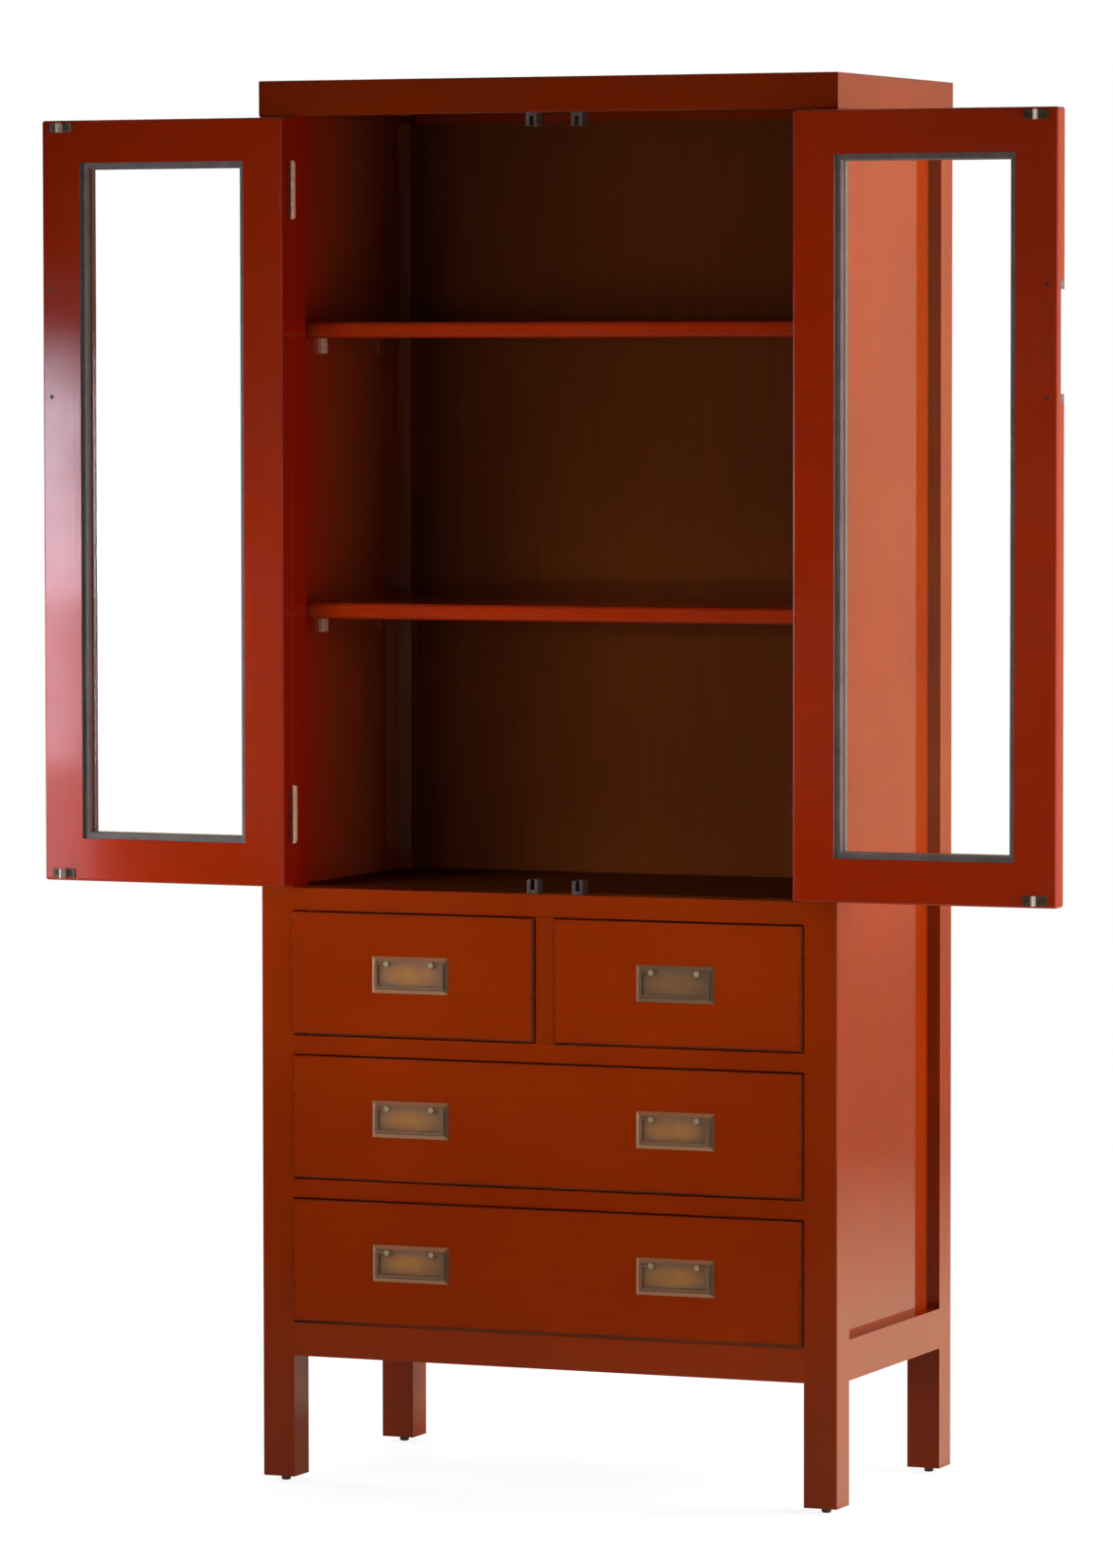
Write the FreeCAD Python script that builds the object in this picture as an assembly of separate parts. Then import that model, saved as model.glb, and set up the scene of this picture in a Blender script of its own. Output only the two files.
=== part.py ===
import FreeCAD, Part
import os
from FreeCAD import Vector

# Display cabinet, in millimetres. While it is drawn, the carcass front is the plane y = 0, y grows
# towards the back, x = 0 is the middle and z = 0 is the floor. At the end every piece moves along y,
# so that the origin lies on the floor under the middle of the cabinet as it stands, doors open.

# Overall size
width = 840.0
depth = 450.0
height = 1915.0

# Posts, rails and frame members
post = 47.0
post_tenon = 21.0
post_tenon_length = 24.0
base_rail_underside = 175.0
base_rail_height = 47.0
side_base_rail_height = 55.0
side_base_rail_thickness = 30.0
top_frame_height = 48.0
top_frame_width = 62.0
drawer_rail_height = 26.0
sill_height = 31.0
divider_width = 28.0
outer_ease = 2.0
rail_ease = 1.0
tenon_length = 15.0
tenon_thickness = 14.0
tenon_shoulder = 5.0
tenon_setback = 6.0
divider_tenon_thickness = 10.0
divider_tenon_length = 8.0

# Panels held in grooves
groove_depth = 8.0
panel_play = 0.5
side_recess = 18.0
side_panel_thickness = 10.0
back_recess = 12.0
back_panel_thickness = 8.0
top_panel_thickness = 16.0
top_panel_tongue = 8.0
top_panel_recess = 2.0
floor_thickness = 18.0
floor_tongue = 8.0

# Shelves and their pegs
shelf_thickness = 22.0
shelf_undersides = {"shelf_lower": 1183.0, "shelf_upper": 1566.0}
shelf_front = 52.0
shelf_ease = 8.0
shelf_play = 1.5
peg_rows = (139.0, 330.0)
peg_width = 18.0
peg_drop = 21.0
peg_reach = 7.0
peg_ease = 2.0
peg_pin_radius = 2.5

# Drawers
drawer_front_height = 168.0
drawer_front_thickness = 20.0
drawer_front_proud = 6.0
drawer_front_ease = 4.0
drawer_gap = 1.5
drawer_side_thickness = 12.0
drawer_side_height = 140.0
drawer_side_inset = 6.0
drawer_side_lift = 8.0
drawer_back_edge = 398.0
drawer_housing = 8.0
drawer_bottom_thickness = 6.0
drawer_bottom_lift = 18.0
drawer_bottom_tongue = 6.0
drawer_back_housing = 4.0
runner_outer = 389.5
runner_bearing = 14.5
runner_height = 20.0
runner_play = 0.5
guide_play = 1.5
guide_height = 30.0
cleat_height = 20.0

# Drawer pulls
pull_offset = 193.5
pull_shift = -2.0
pull_lift = 1.5
plate_width = 112.0
plate_height = 50.0
plate_thickness = 3.0
plate_edge = 1.2
plate_bevel = 5.0
post_spacing = 66.0
pivot_rise = 15.0
pivot_stand = 2.4
pivot_clearance = 0.05
eye_radius = 4.2
eye_overhang = 2.8
eye_round = 1.8
collar_radius = 4.9
collar_thickness = 0.8
bolt_radius = 2.5
bolt_overrun = 1.5
nut_radius = 4.6
nut_thickness = 3.5
bail_width = 102.0
bail_drop = 34.0
bail_bar = 5.0
bail_thickness = 3.2
bail_chamfer = 0.8
bail_head = 1.6
bail_pin_radius = 1.3
bail_pin_tip = 27.5

# Doors
door_thickness = 30.0
door_hinge_gap = 2.0
door_meeting_gap = 6.0
door_end_gap = 2.5
left_door_angle = 182.0
right_door_angle = 180.5
door_face_width = 58.5
door_ease = 3.5
rebate_width = 9.0
door_lip = 12.0
glass_thickness = 4.0
glass_play = 0.5
bead_thickness = 8.0
bead_chamfer = 2.0
door_tenon_length = 35.0
door_tenon_thickness = 8.0
door_tenon_shoulder = 12.0

# Butt hinges
hinge_length = 75.0
hinge_inset = 60.0
knuckle_proud = 3.0
hinge_pin_inset = 1.0
knuckle_radius = 4.0
knuckle_count = 5
knuckle_gap = 0.4
knuckle_relief = 0.4
hinge_leaf_depth = 16.0
hinge_leaf_thickness = 2.0
hinge_pin_radius = 2.2
hinge_cap_radius = 3.4
hinge_cap_height = 2.0
hinge_screw_step = 25.0
hinge_screw_depth = 9.0

# Finger pulls in the meeting stiles
finger_pull_middle = 1560.0
finger_pull_length = 160.0
finger_pull_end = 12.0
finger_pull_reach = 20.0
finger_pull_depth = 18.0
finger_pull_wall = 1.5
finger_pull_screw_inset = 14.0

# Door catches on the carcass and strikes on the doors
catch_offset = 33.0
catch_front = 34.0
catch_back = 54.0
catch_width = 16.0
catch_height = 17.0
catch_foot = 3.0
catch_slot_width = 5.8
catch_slot_back = 46.0
catch_mouth = 1.5
catch_ease = 1.0
catch_screw_row = 50.0
strike_width = 34.0
strike_height = 12.0
strike_metal = 1.5
strike_edge = 4.0
strike_screw_offset = 11.5
tongue_width = 4.4
tongue_height = 13.0
tongue_length = 12.0
tongue_taper = 4.0
tongue_tip = 2.0

# Screws and glides
screw_head_radius = 3.0
screw_shank_radius = 1.6
screw_length = 13.0
catch_screw_length = 30.0
long_screw_length = 22.0
screw_slot_width = 0.8
screw_slot_depth = 0.6
glide_height = 8.0
glide_radius = 6.5
glide_round = 2.0
glide_nail_radius = 1.5
glide_nail_length = 16.0

# Places worked out from the sizes above
X_AXIS = Vector(1, 0, 0)
Y_AXIS = Vector(0, 1, 0)
Z_AXIS = Vector(0, 0, 1)
CENTRE = Vector(0, 0, 0)
half_width = width / 2
jamb = half_width - post
rear_front = depth - post
panel_outer = half_width - side_recess
panel_inner = panel_outer - side_panel_thickness
back_outer = depth - back_recess
back_inner = back_outer - back_panel_thickness
post_top = height - top_frame_height
base_rail_top = base_rail_underside + base_rail_height
side_rail_top = base_rail_underside + side_base_rail_height
row_pitch = drawer_front_height + 2 * drawer_gap + drawer_rail_height
drawer_floors = [base_rail_top + drawer_gap + row * row_pitch for row in range(3)]
rail_floors = [floor + drawer_front_height + drawer_gap for floor in drawer_floors]
sill_floor = rail_floors[2]
sill_top = sill_floor + sill_height
display_floor_underside = sill_top - floor_thickness
door_low = sill_top + door_end_gap
door_high = post_top - door_end_gap
hinge_edge = -(jamb - door_hinge_gap)
free_edge = -door_meeting_gap / 2
hinge_axis = Vector(hinge_edge + hinge_pin_inset, -knuckle_proud, 0)
hinge_floors = (door_low + hinge_inset, door_high - hinge_inset - hinge_length)
clear_radius = knuckle_radius + knuckle_relief


def block(x, y, z):
    """A rectangular solid, each of its three ranges given as (low, high)."""
    return Part.makeBox(x[1] - x[0], y[1] - y[0], z[1] - z[0], Vector(x[0], y[0], z[0]))


def rounded(shape, radius, chosen):
    """A shape with a fillet on every edge that the test chooses by its middle point."""
    return shape.makeFillet(radius, [edge for edge in shape.Edges if chosen(edge.CenterOfMass)])


def near(value, place):
    """True where a coordinate lies on a given plane."""
    return abs(value - place) < 0.01


def prism(corners, run):
    """A flat outline, given by its corners, drawn out along a vector."""
    return Part.Face(Part.makePolygon(corners + corners[:1])).extrude(run)


def mitred_ring(outer, inner, run):
    """Four bars round a rectangle, mitred at its corners."""
    bars = []
    for index in range(4):
        following = (index + 1) % 4
        bars.append(prism([outer[index], outer[following], inner[following], inner[index]], run))
    return bars


def carve(shape, tools):
    """One solid with a list of tools cut out of it."""
    return shape.cut(tools).Solids[0]


def join(shapes):
    """Several touching shapes as one solid."""
    return shapes[0].fuse(shapes[1:]).removeSplitter().Solids[0]


def mirrored(shape):
    """The same piece on the other side of the middle plane."""
    return shape.mirror(CENTRE, X_AXIS)


def both_sides(shapes):
    """A list of pieces followed by their mirror images."""
    return shapes + [mirrored(shape) for shape in shapes]


def screw_body(at, into, length=screw_length):
    """A countersunk screw without its slot, head flush at a point: also the hole that it fills."""
    head_depth = screw_head_radius - screw_shank_radius
    head = Part.makeCone(screw_head_radius, screw_shank_radius, head_depth, at, into)
    shank = Part.makeCylinder(screw_shank_radius, length - head_depth, at + into * head_depth, into)
    return join([head, shank])


def slotted(body, at, into):
    """A screw with a straight slot across its head."""
    across = X_AXIS if abs(into.z) > 0.5 else Z_AXIS
    along_slot = across * screw_head_radius
    half_slot = into.cross(across) * (screw_slot_width / 2)
    corners = [
        at + along_slot + half_slot,
        at + along_slot - half_slot,
        at - along_slot - half_slot,
        at - along_slot + half_slot,
    ]
    return carve(body, [prism(corners, into * screw_slot_depth)])


nodes = {}


# Front rails, which are as deep as the posts, with a tenon at each end
def front_tenons(low, high):
    """The tenons of a front rail, and so the mortises that they fill in the front posts."""
    y = ((post - tenon_thickness) / 2, (post + tenon_thickness) / 2)
    z = (low + tenon_shoulder, high - tenon_shoulder)
    return both_sides([block((-jamb - tenon_length, -jamb), y, z)])


def front_rail(low, high):
    """A rail between the front posts, its two front edges eased."""
    body = block((-jamb, jamb), (0, post), (low, high))
    body = rounded(body, rail_ease, lambda middle: near(middle.x, 0) and near(middle.y, 0))
    return join([body] + front_tenons(low, high))


front_rails = {
    "base_rail_front": [(base_rail_underside, base_rail_top)],
    "drawer_rails": [(floor, floor + drawer_rail_height) for floor in rail_floors[:2]],
    "sill_rail": [(sill_floor, sill_top)],
}
front_mortises = []
for spans in front_rails.values():
    for low, high in spans:
        front_mortises += front_tenons(low, high)

# Upright divider between the two upper drawers, with a stub tenon up and down
divider_x = (-divider_width / 2, divider_width / 2)
divider_z = (rail_floors[1] + drawer_rail_height, sill_floor)
divider_tenon = block(
    (-divider_tenon_thickness / 2, divider_tenon_thickness / 2),
    (tenon_length, post - tenon_length),
    (divider_z[0] - divider_tenon_length, divider_z[1] + divider_tenon_length),
)
divider = block(divider_x, (0, post), divider_z)
divider = rounded(divider, rail_ease, lambda middle: near(middle.y, 0) and not near(middle.x, 0))
nodes["drawer_divider"] = join([divider, divider_tenon])

# Display floor, level with the sill: a tongue in the sill's back, and corners cut out for the rear posts
floor_tongue_block = block(
    (-jamb + panel_play, jamb - panel_play),
    (post - floor_tongue + panel_play, post),
    (display_floor_underside, display_floor_underside + floor_tongue),
)
floor_groove = block(
    (-jamb, jamb),
    (post - floor_tongue, post),
    (display_floor_underside, display_floor_underside + floor_tongue),
)
rear_corner = block((-half_width, -jamb + panel_play), (rear_front - panel_play, depth), (0, height))
rear_corners = both_sides([rear_corner])
floor_board = block(
    (-panel_inner + panel_play, panel_inner - panel_play),
    (post, back_inner - panel_play),
    (display_floor_underside, sill_top),
)
display_floor = join([carve(floor_board, rear_corners), floor_tongue_block])

# Side and back base rails, with tenons in the posts
side_tenon_x = (-half_width + tenon_setback, -half_width + tenon_setback + tenon_thickness)
side_tenon_z = (base_rail_underside + tenon_shoulder, side_rail_top - groove_depth - tenon_shoulder)
side_tenons = [
    block(side_tenon_x, (post - tenon_length, post), side_tenon_z),
    block(side_tenon_x, (rear_front, rear_front + tenon_length), side_tenon_z),
]
back_tenon_y = (depth - tenon_setback - tenon_thickness, depth - tenon_setback)
back_tenons = both_sides([block((-jamb - tenon_length, -jamb), back_tenon_y, side_tenon_z)])
base_rail_z = (base_rail_underside, side_rail_top)
side_rail_x = (-half_width, -half_width + side_base_rail_thickness)
side_rail = join([block(side_rail_x, (post, rear_front), base_rail_z)] + side_tenons)
back_rail = block((-jamb, jamb), (depth - side_base_rail_thickness, depth), base_rail_z)
back_rail = join([back_rail] + back_tenons)

# Side and back panels, each one board, and the grooves that hold them
panel_z = (side_rail_top - groove_depth, post_top + groove_depth)
side_panel_x = (-panel_outer, -panel_inner)
side_groove = block(side_panel_x, (post - groove_depth, rear_front + groove_depth), panel_z)
back_groove = block((-jamb - groove_depth, jamb + groove_depth), (back_inner, back_outer), panel_z)
grooves = both_sides([side_groove]) + [back_groove]
base_rails = both_sides([side_rail]) + [back_rail]
nodes["base_rails"] = Part.makeCompound([carve(rail, grooves) for rail in base_rails])
loose_z = (panel_z[0] + panel_play, panel_z[1] - panel_play)
side_panel = block(
    side_panel_x,
    (post - groove_depth + panel_play, rear_front + groove_depth - panel_play),
    loose_z,
)
back_half = jamb + groove_depth - panel_play
nodes["back_panel"] = block((-back_half, back_half), (back_inner, back_outer), loose_z)

# Shelf pegs: a cast brass rest with a pin pushed into a hole in the side panel
pegs = []
for underside in shelf_undersides.values():
    for row in peg_rows:
        y = (row - peg_width / 2, row + peg_width / 2)
        tip = -panel_inner + peg_reach
        rest = block((-panel_inner, tip), y, (underside - peg_drop, underside))
        below = underside - peg_ease
        rest = rounded(rest, peg_ease, lambda middle: near(middle.x, tip) and middle.z < below)
        pin_at = Vector(-panel_inner - groove_depth, row, underside - peg_drop / 2)
        pin = Part.makeCylinder(peg_pin_radius, groove_depth + peg_reach / 2, pin_at, X_AXIS)
        pegs.append(join([rest, pin]))
nodes["shelf_pegs"] = Part.makeCompound(both_sides(pegs))
side_panel = carve(side_panel, pegs)
nodes["side_panel_left"] = side_panel
nodes["side_panel_right"] = mirrored(side_panel)

# Shelves, notched round the rear posts, their front edges eased
for name, underside in shelf_undersides.items():
    shelf = block(
        (-panel_inner + shelf_play, panel_inner - shelf_play),
        (shelf_front, back_inner - shelf_play),
        (underside, underside + shelf_thickness),
    )
    shelf = rounded(shelf, shelf_ease, lambda middle: near(middle.x, 0) and near(middle.y, shelf_front))
    nodes[name] = carve(shelf, rear_corners)


# Butt hinges, drawn for the left door shut: a fixed leaf, a moving leaf and a pin
def on_hinge_axis(radius, low, high):
    """A cylinder about the left hinge axis."""
    return Part.makeCylinder(radius, high - low, hinge_axis + Z_AXIS * low, Z_AXIS)


def hinge_leaf(floor, x, first_knuckle, bore):
    """A leaf with every second knuckle, bored for the pin and cleared for the other leaf's knuckles."""
    ceiling = floor + hinge_length
    leaf = block(x, (-knuckle_proud, hinge_leaf_depth), (floor, ceiling))
    knuckle_pitch = hinge_length / knuckle_count
    half_gap = knuckle_gap / 2
    knuckles = []
    clearings = []
    for index in range(knuckle_count):
        low = floor + index * knuckle_pitch
        high = low + knuckle_pitch
        if index % 2 == first_knuckle:
            knuckles.append(on_hinge_axis(knuckle_radius, low + half_gap, high - half_gap))
        else:
            clearings.append(on_hinge_axis(clear_radius, low - half_gap, high + half_gap))
    leaf = join([carve(leaf, clearings)] + knuckles)
    return carve(leaf, [on_hinge_axis(bore, floor, ceiling)])


def hinge_screws(x, into):
    """The screws of both leaves on one side of the hinge, as (point, way in) pairs."""
    points = []
    for floor in hinge_floors:
        for step in (-hinge_screw_step, 0, hinge_screw_step):
            points.append((Vector(x, hinge_screw_depth, floor + hinge_length / 2 + step), into))
    return points


fixed_leaf_x = (-jamb - hinge_leaf_thickness, -jamb)
door_leaf_x = (hinge_edge, hinge_edge + hinge_leaf_thickness)
hinge_clearings = []
post_recesses = []
door_recesses = []
fixed_leaves = []
door_leaves = []
hinge_pins = []
for floor in hinge_floors:
    ceiling = floor + hinge_length
    end_room = hinge_cap_height + knuckle_relief
    hinge_clearings.append(on_hinge_axis(clear_radius, floor - end_room, ceiling + end_room))
    post_recesses.append(block(fixed_leaf_x, (0, hinge_leaf_depth), (floor, ceiling)))
    door_recesses.append(block(door_leaf_x, (0, hinge_leaf_depth), (floor, ceiling)))
    fixed_leaves.append(hinge_leaf(floor, fixed_leaf_x, 0, hinge_pin_radius))
    door_leaves.append(hinge_leaf(floor, door_leaf_x, 1, hinge_pin_radius + pivot_clearance))
    stem = on_hinge_axis(hinge_pin_radius, floor, ceiling)
    lower_cap = on_hinge_axis(hinge_cap_radius, floor - hinge_cap_height, floor)
    upper_cap = on_hinge_axis(hinge_cap_radius, ceiling, ceiling + hinge_cap_height)
    hinge_pins.append(join([lower_cap, stem, upper_cap]))
post_screws = hinge_screws(-jamb, -X_AXIS)
post_screw_holes = [screw_body(at, into) for at, into in post_screws]
fixed_leaves = [carve(leaf, post_screw_holes) for leaf in fixed_leaves]
nodes["hinge_leaves_fixed"] = Part.makeCompound(both_sides(fixed_leaves))
nodes["hinge_pins"] = Part.makeCompound(both_sides(hinge_pins))


# Door catches: a body screwed to the carcass, with a slot that takes the tongue of the strike
def catch(seat, away):
    """One left catch on a level surface, its slot open away from it (1 up, -1 down)."""
    half_body = catch_width / 2
    half_slot = catch_slot_width / 2
    height_run = Z_AXIS * (catch_height * away)
    body = prism(
        [
            Vector(-half_body, catch_back, seat),
            Vector(-half_body, catch_front, seat),
            Vector(half_body, catch_front, seat),
            Vector(half_body, catch_back, seat),
        ],
        height_run,
    )
    body = rounded(body, catch_ease, lambda middle: not near(middle.z, seat))
    slot = prism(
        [
            Vector(-half_slot - catch_mouth, catch_front, seat),
            Vector(half_slot + catch_mouth, catch_front, seat),
            Vector(half_slot, catch_front + catch_mouth, seat),
            Vector(half_slot, catch_slot_back, seat),
            Vector(-half_slot, catch_slot_back, seat),
            Vector(-half_slot, catch_front + catch_mouth, seat),
        ],
        height_run,
    ).translated(Z_AXIS * (catch_foot * away))
    return carve(body, [slot]).translated(X_AXIS * -catch_offset)


catch_screws = []
catches = []
for seat, away in ((post_top, -1), (sill_top, 1)):
    screw = (Vector(-catch_offset, catch_screw_row, seat + catch_height * away), Z_AXIS * -away)
    catches.append(carve(catch(seat, away), [screw_body(*screw, catch_screw_length)]))
    catch_screws.append(screw)
catch_holes = both_sides([screw_body(at, into, catch_screw_length) for at, into in catch_screws])
nodes["door_catches"] = Part.makeCompound(both_sides(catches))
carcass_screws = [slotted(screw_body(at, into), at, into) for at, into in post_screws]
carcass_screws += [slotted(screw_body(at, into, catch_screw_length), at, into) for at, into in catch_screws]
nodes["carcass_screws"] = Part.makeCompound(both_sides(carcass_screws))

# The front rails and the display floor, once everything that is let into them is known
rail_tools = [divider_tenon, floor_groove] + catch_holes
for name, spans in front_rails.items():
    nodes[name] = Part.makeCompound([carve(front_rail(low, high), rail_tools) for low, high in spans])
nodes["display_floor"] = carve(display_floor, catch_holes)

# Glides: a turned foot with a nail up into the middle of each post
glides = []
glide_nails = []
for x in (-half_width + post / 2, half_width - post / 2):
    for y in (post / 2, depth - post / 2):
        foot = Part.makeCylinder(glide_radius, glide_height, Vector(x, y, 0))
        foot = rounded(foot, glide_round, lambda middle: near(middle.z, 0))
        nail = Part.makeCylinder(glide_nail_radius, glide_nail_length, Vector(x, y, glide_height))
        glide_nails.append(nail)
        glides.append(join([foot, nail]))
nodes["leg_glides"] = Part.makeCompound(glides)

# Posts: square, with mortises for the rails, grooves for the panels and a tenon into the top frame
post_tools = front_mortises + both_sides(side_tenons) + back_tenons + grooves + glide_nails
post_tools += both_sides(hinge_clearings + post_recesses + post_screw_holes)
post_tenons = []
tenon_inset = (post - post_tenon) / 2
for side, x in (("left", (-half_width, -jamb)), ("right", (jamb, half_width))):
    for end, y in (("front", (0, post)), ("rear", (rear_front, depth))):
        shaft = block(x, y, (glide_height, post_top))
        corner_y = 0 if end == "front" else depth
        shaft = rounded(
            shaft,
            outer_ease,
            lambda middle: near(abs(middle.x), half_width) and near(middle.y, corner_y),
        )
        tenon = block(
            (x[0] + tenon_inset, x[1] - tenon_inset),
            (y[0] + tenon_inset, y[1] - tenon_inset),
            (post_top, post_top + post_tenon_length),
        )
        post_tenons.append(tenon)
        nodes["post_%s_%s" % (end, side)] = carve(join([shaft, tenon]), post_tools)

# Top frame: four members mitred at the corners, with a groove inside for the top panel
frame_inner = half_width - top_frame_width
frame_rear = depth - top_frame_width
outer_corners = [
    Vector(-half_width, 0, post_top),
    Vector(half_width, 0, post_top),
    Vector(half_width, depth, post_top),
    Vector(-half_width, depth, post_top),
]
inner_corners = [
    Vector(-frame_inner, top_frame_width, post_top),
    Vector(frame_inner, top_frame_width, post_top),
    Vector(frame_inner, frame_rear, post_top),
    Vector(-frame_inner, frame_rear, post_top),
]
panel_floor = height - top_panel_recess - top_panel_thickness
tongue_z = (panel_floor, panel_floor + top_panel_tongue)
top_groove = block(
    (-frame_inner - groove_depth, frame_inner + groove_depth),
    (top_frame_width - groove_depth, frame_rear + groove_depth),
    tongue_z,
)
members = []
for member in mitred_ring(outer_corners, inner_corners, Z_AXIS * top_frame_height):
    eased = rounded(
        member,
        outer_ease,
        lambda middle: not near(middle.z, post_top + top_frame_height / 2)
        and (near(middle.y, 0) or near(middle.y, depth) or near(abs(middle.x), half_width)),
    )
    members.append(carve(eased, post_tenons + grooves + [top_groove] + catch_holes))
nodes["top_frame"] = Part.makeCompound(members)
tongue_reach = groove_depth - panel_play
panel_tongue = block(
    (-frame_inner - tongue_reach, frame_inner + tongue_reach),
    (top_frame_width - tongue_reach, frame_rear + tongue_reach),
    tongue_z,
)
panel_field = block(
    (-frame_inner + panel_play, frame_inner - panel_play),
    (top_frame_width + panel_play, frame_rear - panel_play),
    (tongue_z[1], height - top_panel_recess),
)
nodes["top_panel"] = join([panel_tongue, panel_field])

# Drawer runners, each a bearer with a guide strip on it, at both sides of a row and in the middle of the
# top row, and the cleats under the display floor
box_half = jamb - drawer_gap - drawer_side_inset
middle_guide = divider_width / 2 + drawer_gap + drawer_side_inset - guide_play
runners = []
for floor in drawer_floors:
    bearing = floor + drawer_side_lift - runner_play
    foot_x = (-runner_outer, -box_half + runner_bearing)
    foot = block(foot_x, (post, rear_front), (bearing - runner_height, bearing))
    guide_x = (-runner_outer, -box_half - guide_play)
    guide = block(guide_x, (post, rear_front), (bearing, bearing + guide_height))
    runners += both_sides([foot, guide])
foot_half = middle_guide + guide_play + runner_bearing
runners.append(block((-foot_half, foot_half), (post, back_inner), (bearing - runner_height, bearing)))
guide_x = (-middle_guide, middle_guide)
runners.append(block(guide_x, (post, back_inner), (bearing, bearing + guide_height)))
cleat_z = (display_floor_underside - cleat_height, display_floor_underside)
runners += both_sides([block((-runner_outer, -jamb), (post, rear_front), cleat_z)])
nodes["runners_and_cleats"] = Part.makeCompound(runners)

# Drawer pulls: bevelled backplate, two eyelet posts bolted through the front, and a bail that
# swings close in front of the plate
front_face = -drawer_front_proud
front_back = front_face + drawer_front_thickness
plate_face = front_face - plate_thickness
pivot_y = plate_face - pivot_stand
bail_y = (pivot_y - bail_thickness / 2, pivot_y + bail_thickness / 2)


def nut_blank(at):
    """A six-sided nut on the back of a drawer front, before it is bored."""
    corners = []
    for corner in range(6):
        turn = FreeCAD.Rotation(Y_AXIS, 360 / 6 * corner)
        corners.append(at + turn.multVec(X_AXIS * nut_radius))
    return prism(corners, Y_AXIS * nut_thickness)


def plate_outline(middle, inset, y):
    """The backplate's rectangle at a given depth, drawn in from its edge by an inset."""
    across = plate_width / 2 - inset
    up = plate_height / 2 - inset
    corners = [(-across, -up), (across, -up), (across, up), (-across, up), (-across, -up)]
    return Part.makePolygon([Vector(middle.x + x, y, middle.z + z) for x, z in corners])


def pull_mount(middle_x, middle_z):
    """The plate, eyelet posts and nuts of one pull, and the bolt shanks that pierce the drawer front."""
    middle = Vector(middle_x, 0, middle_z)
    rim_y = front_face - plate_edge
    plate = block(
        (middle_x - plate_width / 2, middle_x + plate_width / 2),
        (rim_y, front_face),
        (middle_z - plate_height / 2, middle_z + plate_height / 2),
    )
    outlines = [plate_outline(middle, 0, rim_y), plate_outline(middle, plate_bevel, plate_face)]
    plate = join([plate, Part.makeLoft(outlines, True, True)])
    pivot_z = middle_z + pivot_rise
    eye_length = pivot_stand + eye_overhang
    bolt_length = plate_thickness + drawer_front_thickness + nut_thickness + bolt_overrun
    fittings = []
    bolts = []
    for offset in (-post_spacing / 2, post_spacing / 2):
        foot = Vector(middle_x + offset, plate_face, pivot_z)
        eye = Part.makeCylinder(eye_radius, eye_length, foot, -Y_AXIS)
        eye = rounded(eye, eye_round, lambda middle: near(middle.y, plate_face - eye_length))
        collar = Part.makeCylinder(collar_radius, collar_thickness, foot, -Y_AXIS)
        bolt = Part.makeCylinder(bolt_radius, bolt_length, foot, Y_AXIS)
        hole_at = Vector(foot.x - collar_radius, pivot_y, pivot_z)
        hole = Part.makeCylinder(bail_pin_radius + pivot_clearance, 2 * collar_radius, hole_at, X_AXIS)
        fittings.append(carve(join([eye, collar, bolt]), [hole]))
        fittings.append(carve(nut_blank(Vector(foot.x, front_back, pivot_z)), [bolt]))
        bolts.append(bolt)
    return [carve(plate, bolts)] + fittings, bolts


def bail(middle_x, middle_z):
    """A flat bar bent to a U, with a pin turned inwards at each end through the eyelet posts."""
    half = bail_width / 2
    opening = half - bail_bar
    pivot_z = middle_z + pivot_rise
    low = pivot_z - bail_drop
    high = pivot_z + bail_head
    loop = block((middle_x - half, middle_x + half), bail_y, (low, high))
    loop = carve(loop, [block((middle_x - opening, middle_x + opening), bail_y, (low + bail_bar, high))])
    loop = loop.makeChamfer(bail_chamfer, loop.Edges)
    pins = []
    for way in (-1, 1):
        start = half - bail_bar / 2
        pin_at = Vector(middle_x + way * start, pivot_y, pivot_z)
        pins.append(Part.makeCylinder(bail_pin_radius, start - bail_pin_tip, pin_at, X_AXIS * -way))
    return join([loop] + pins)


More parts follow.
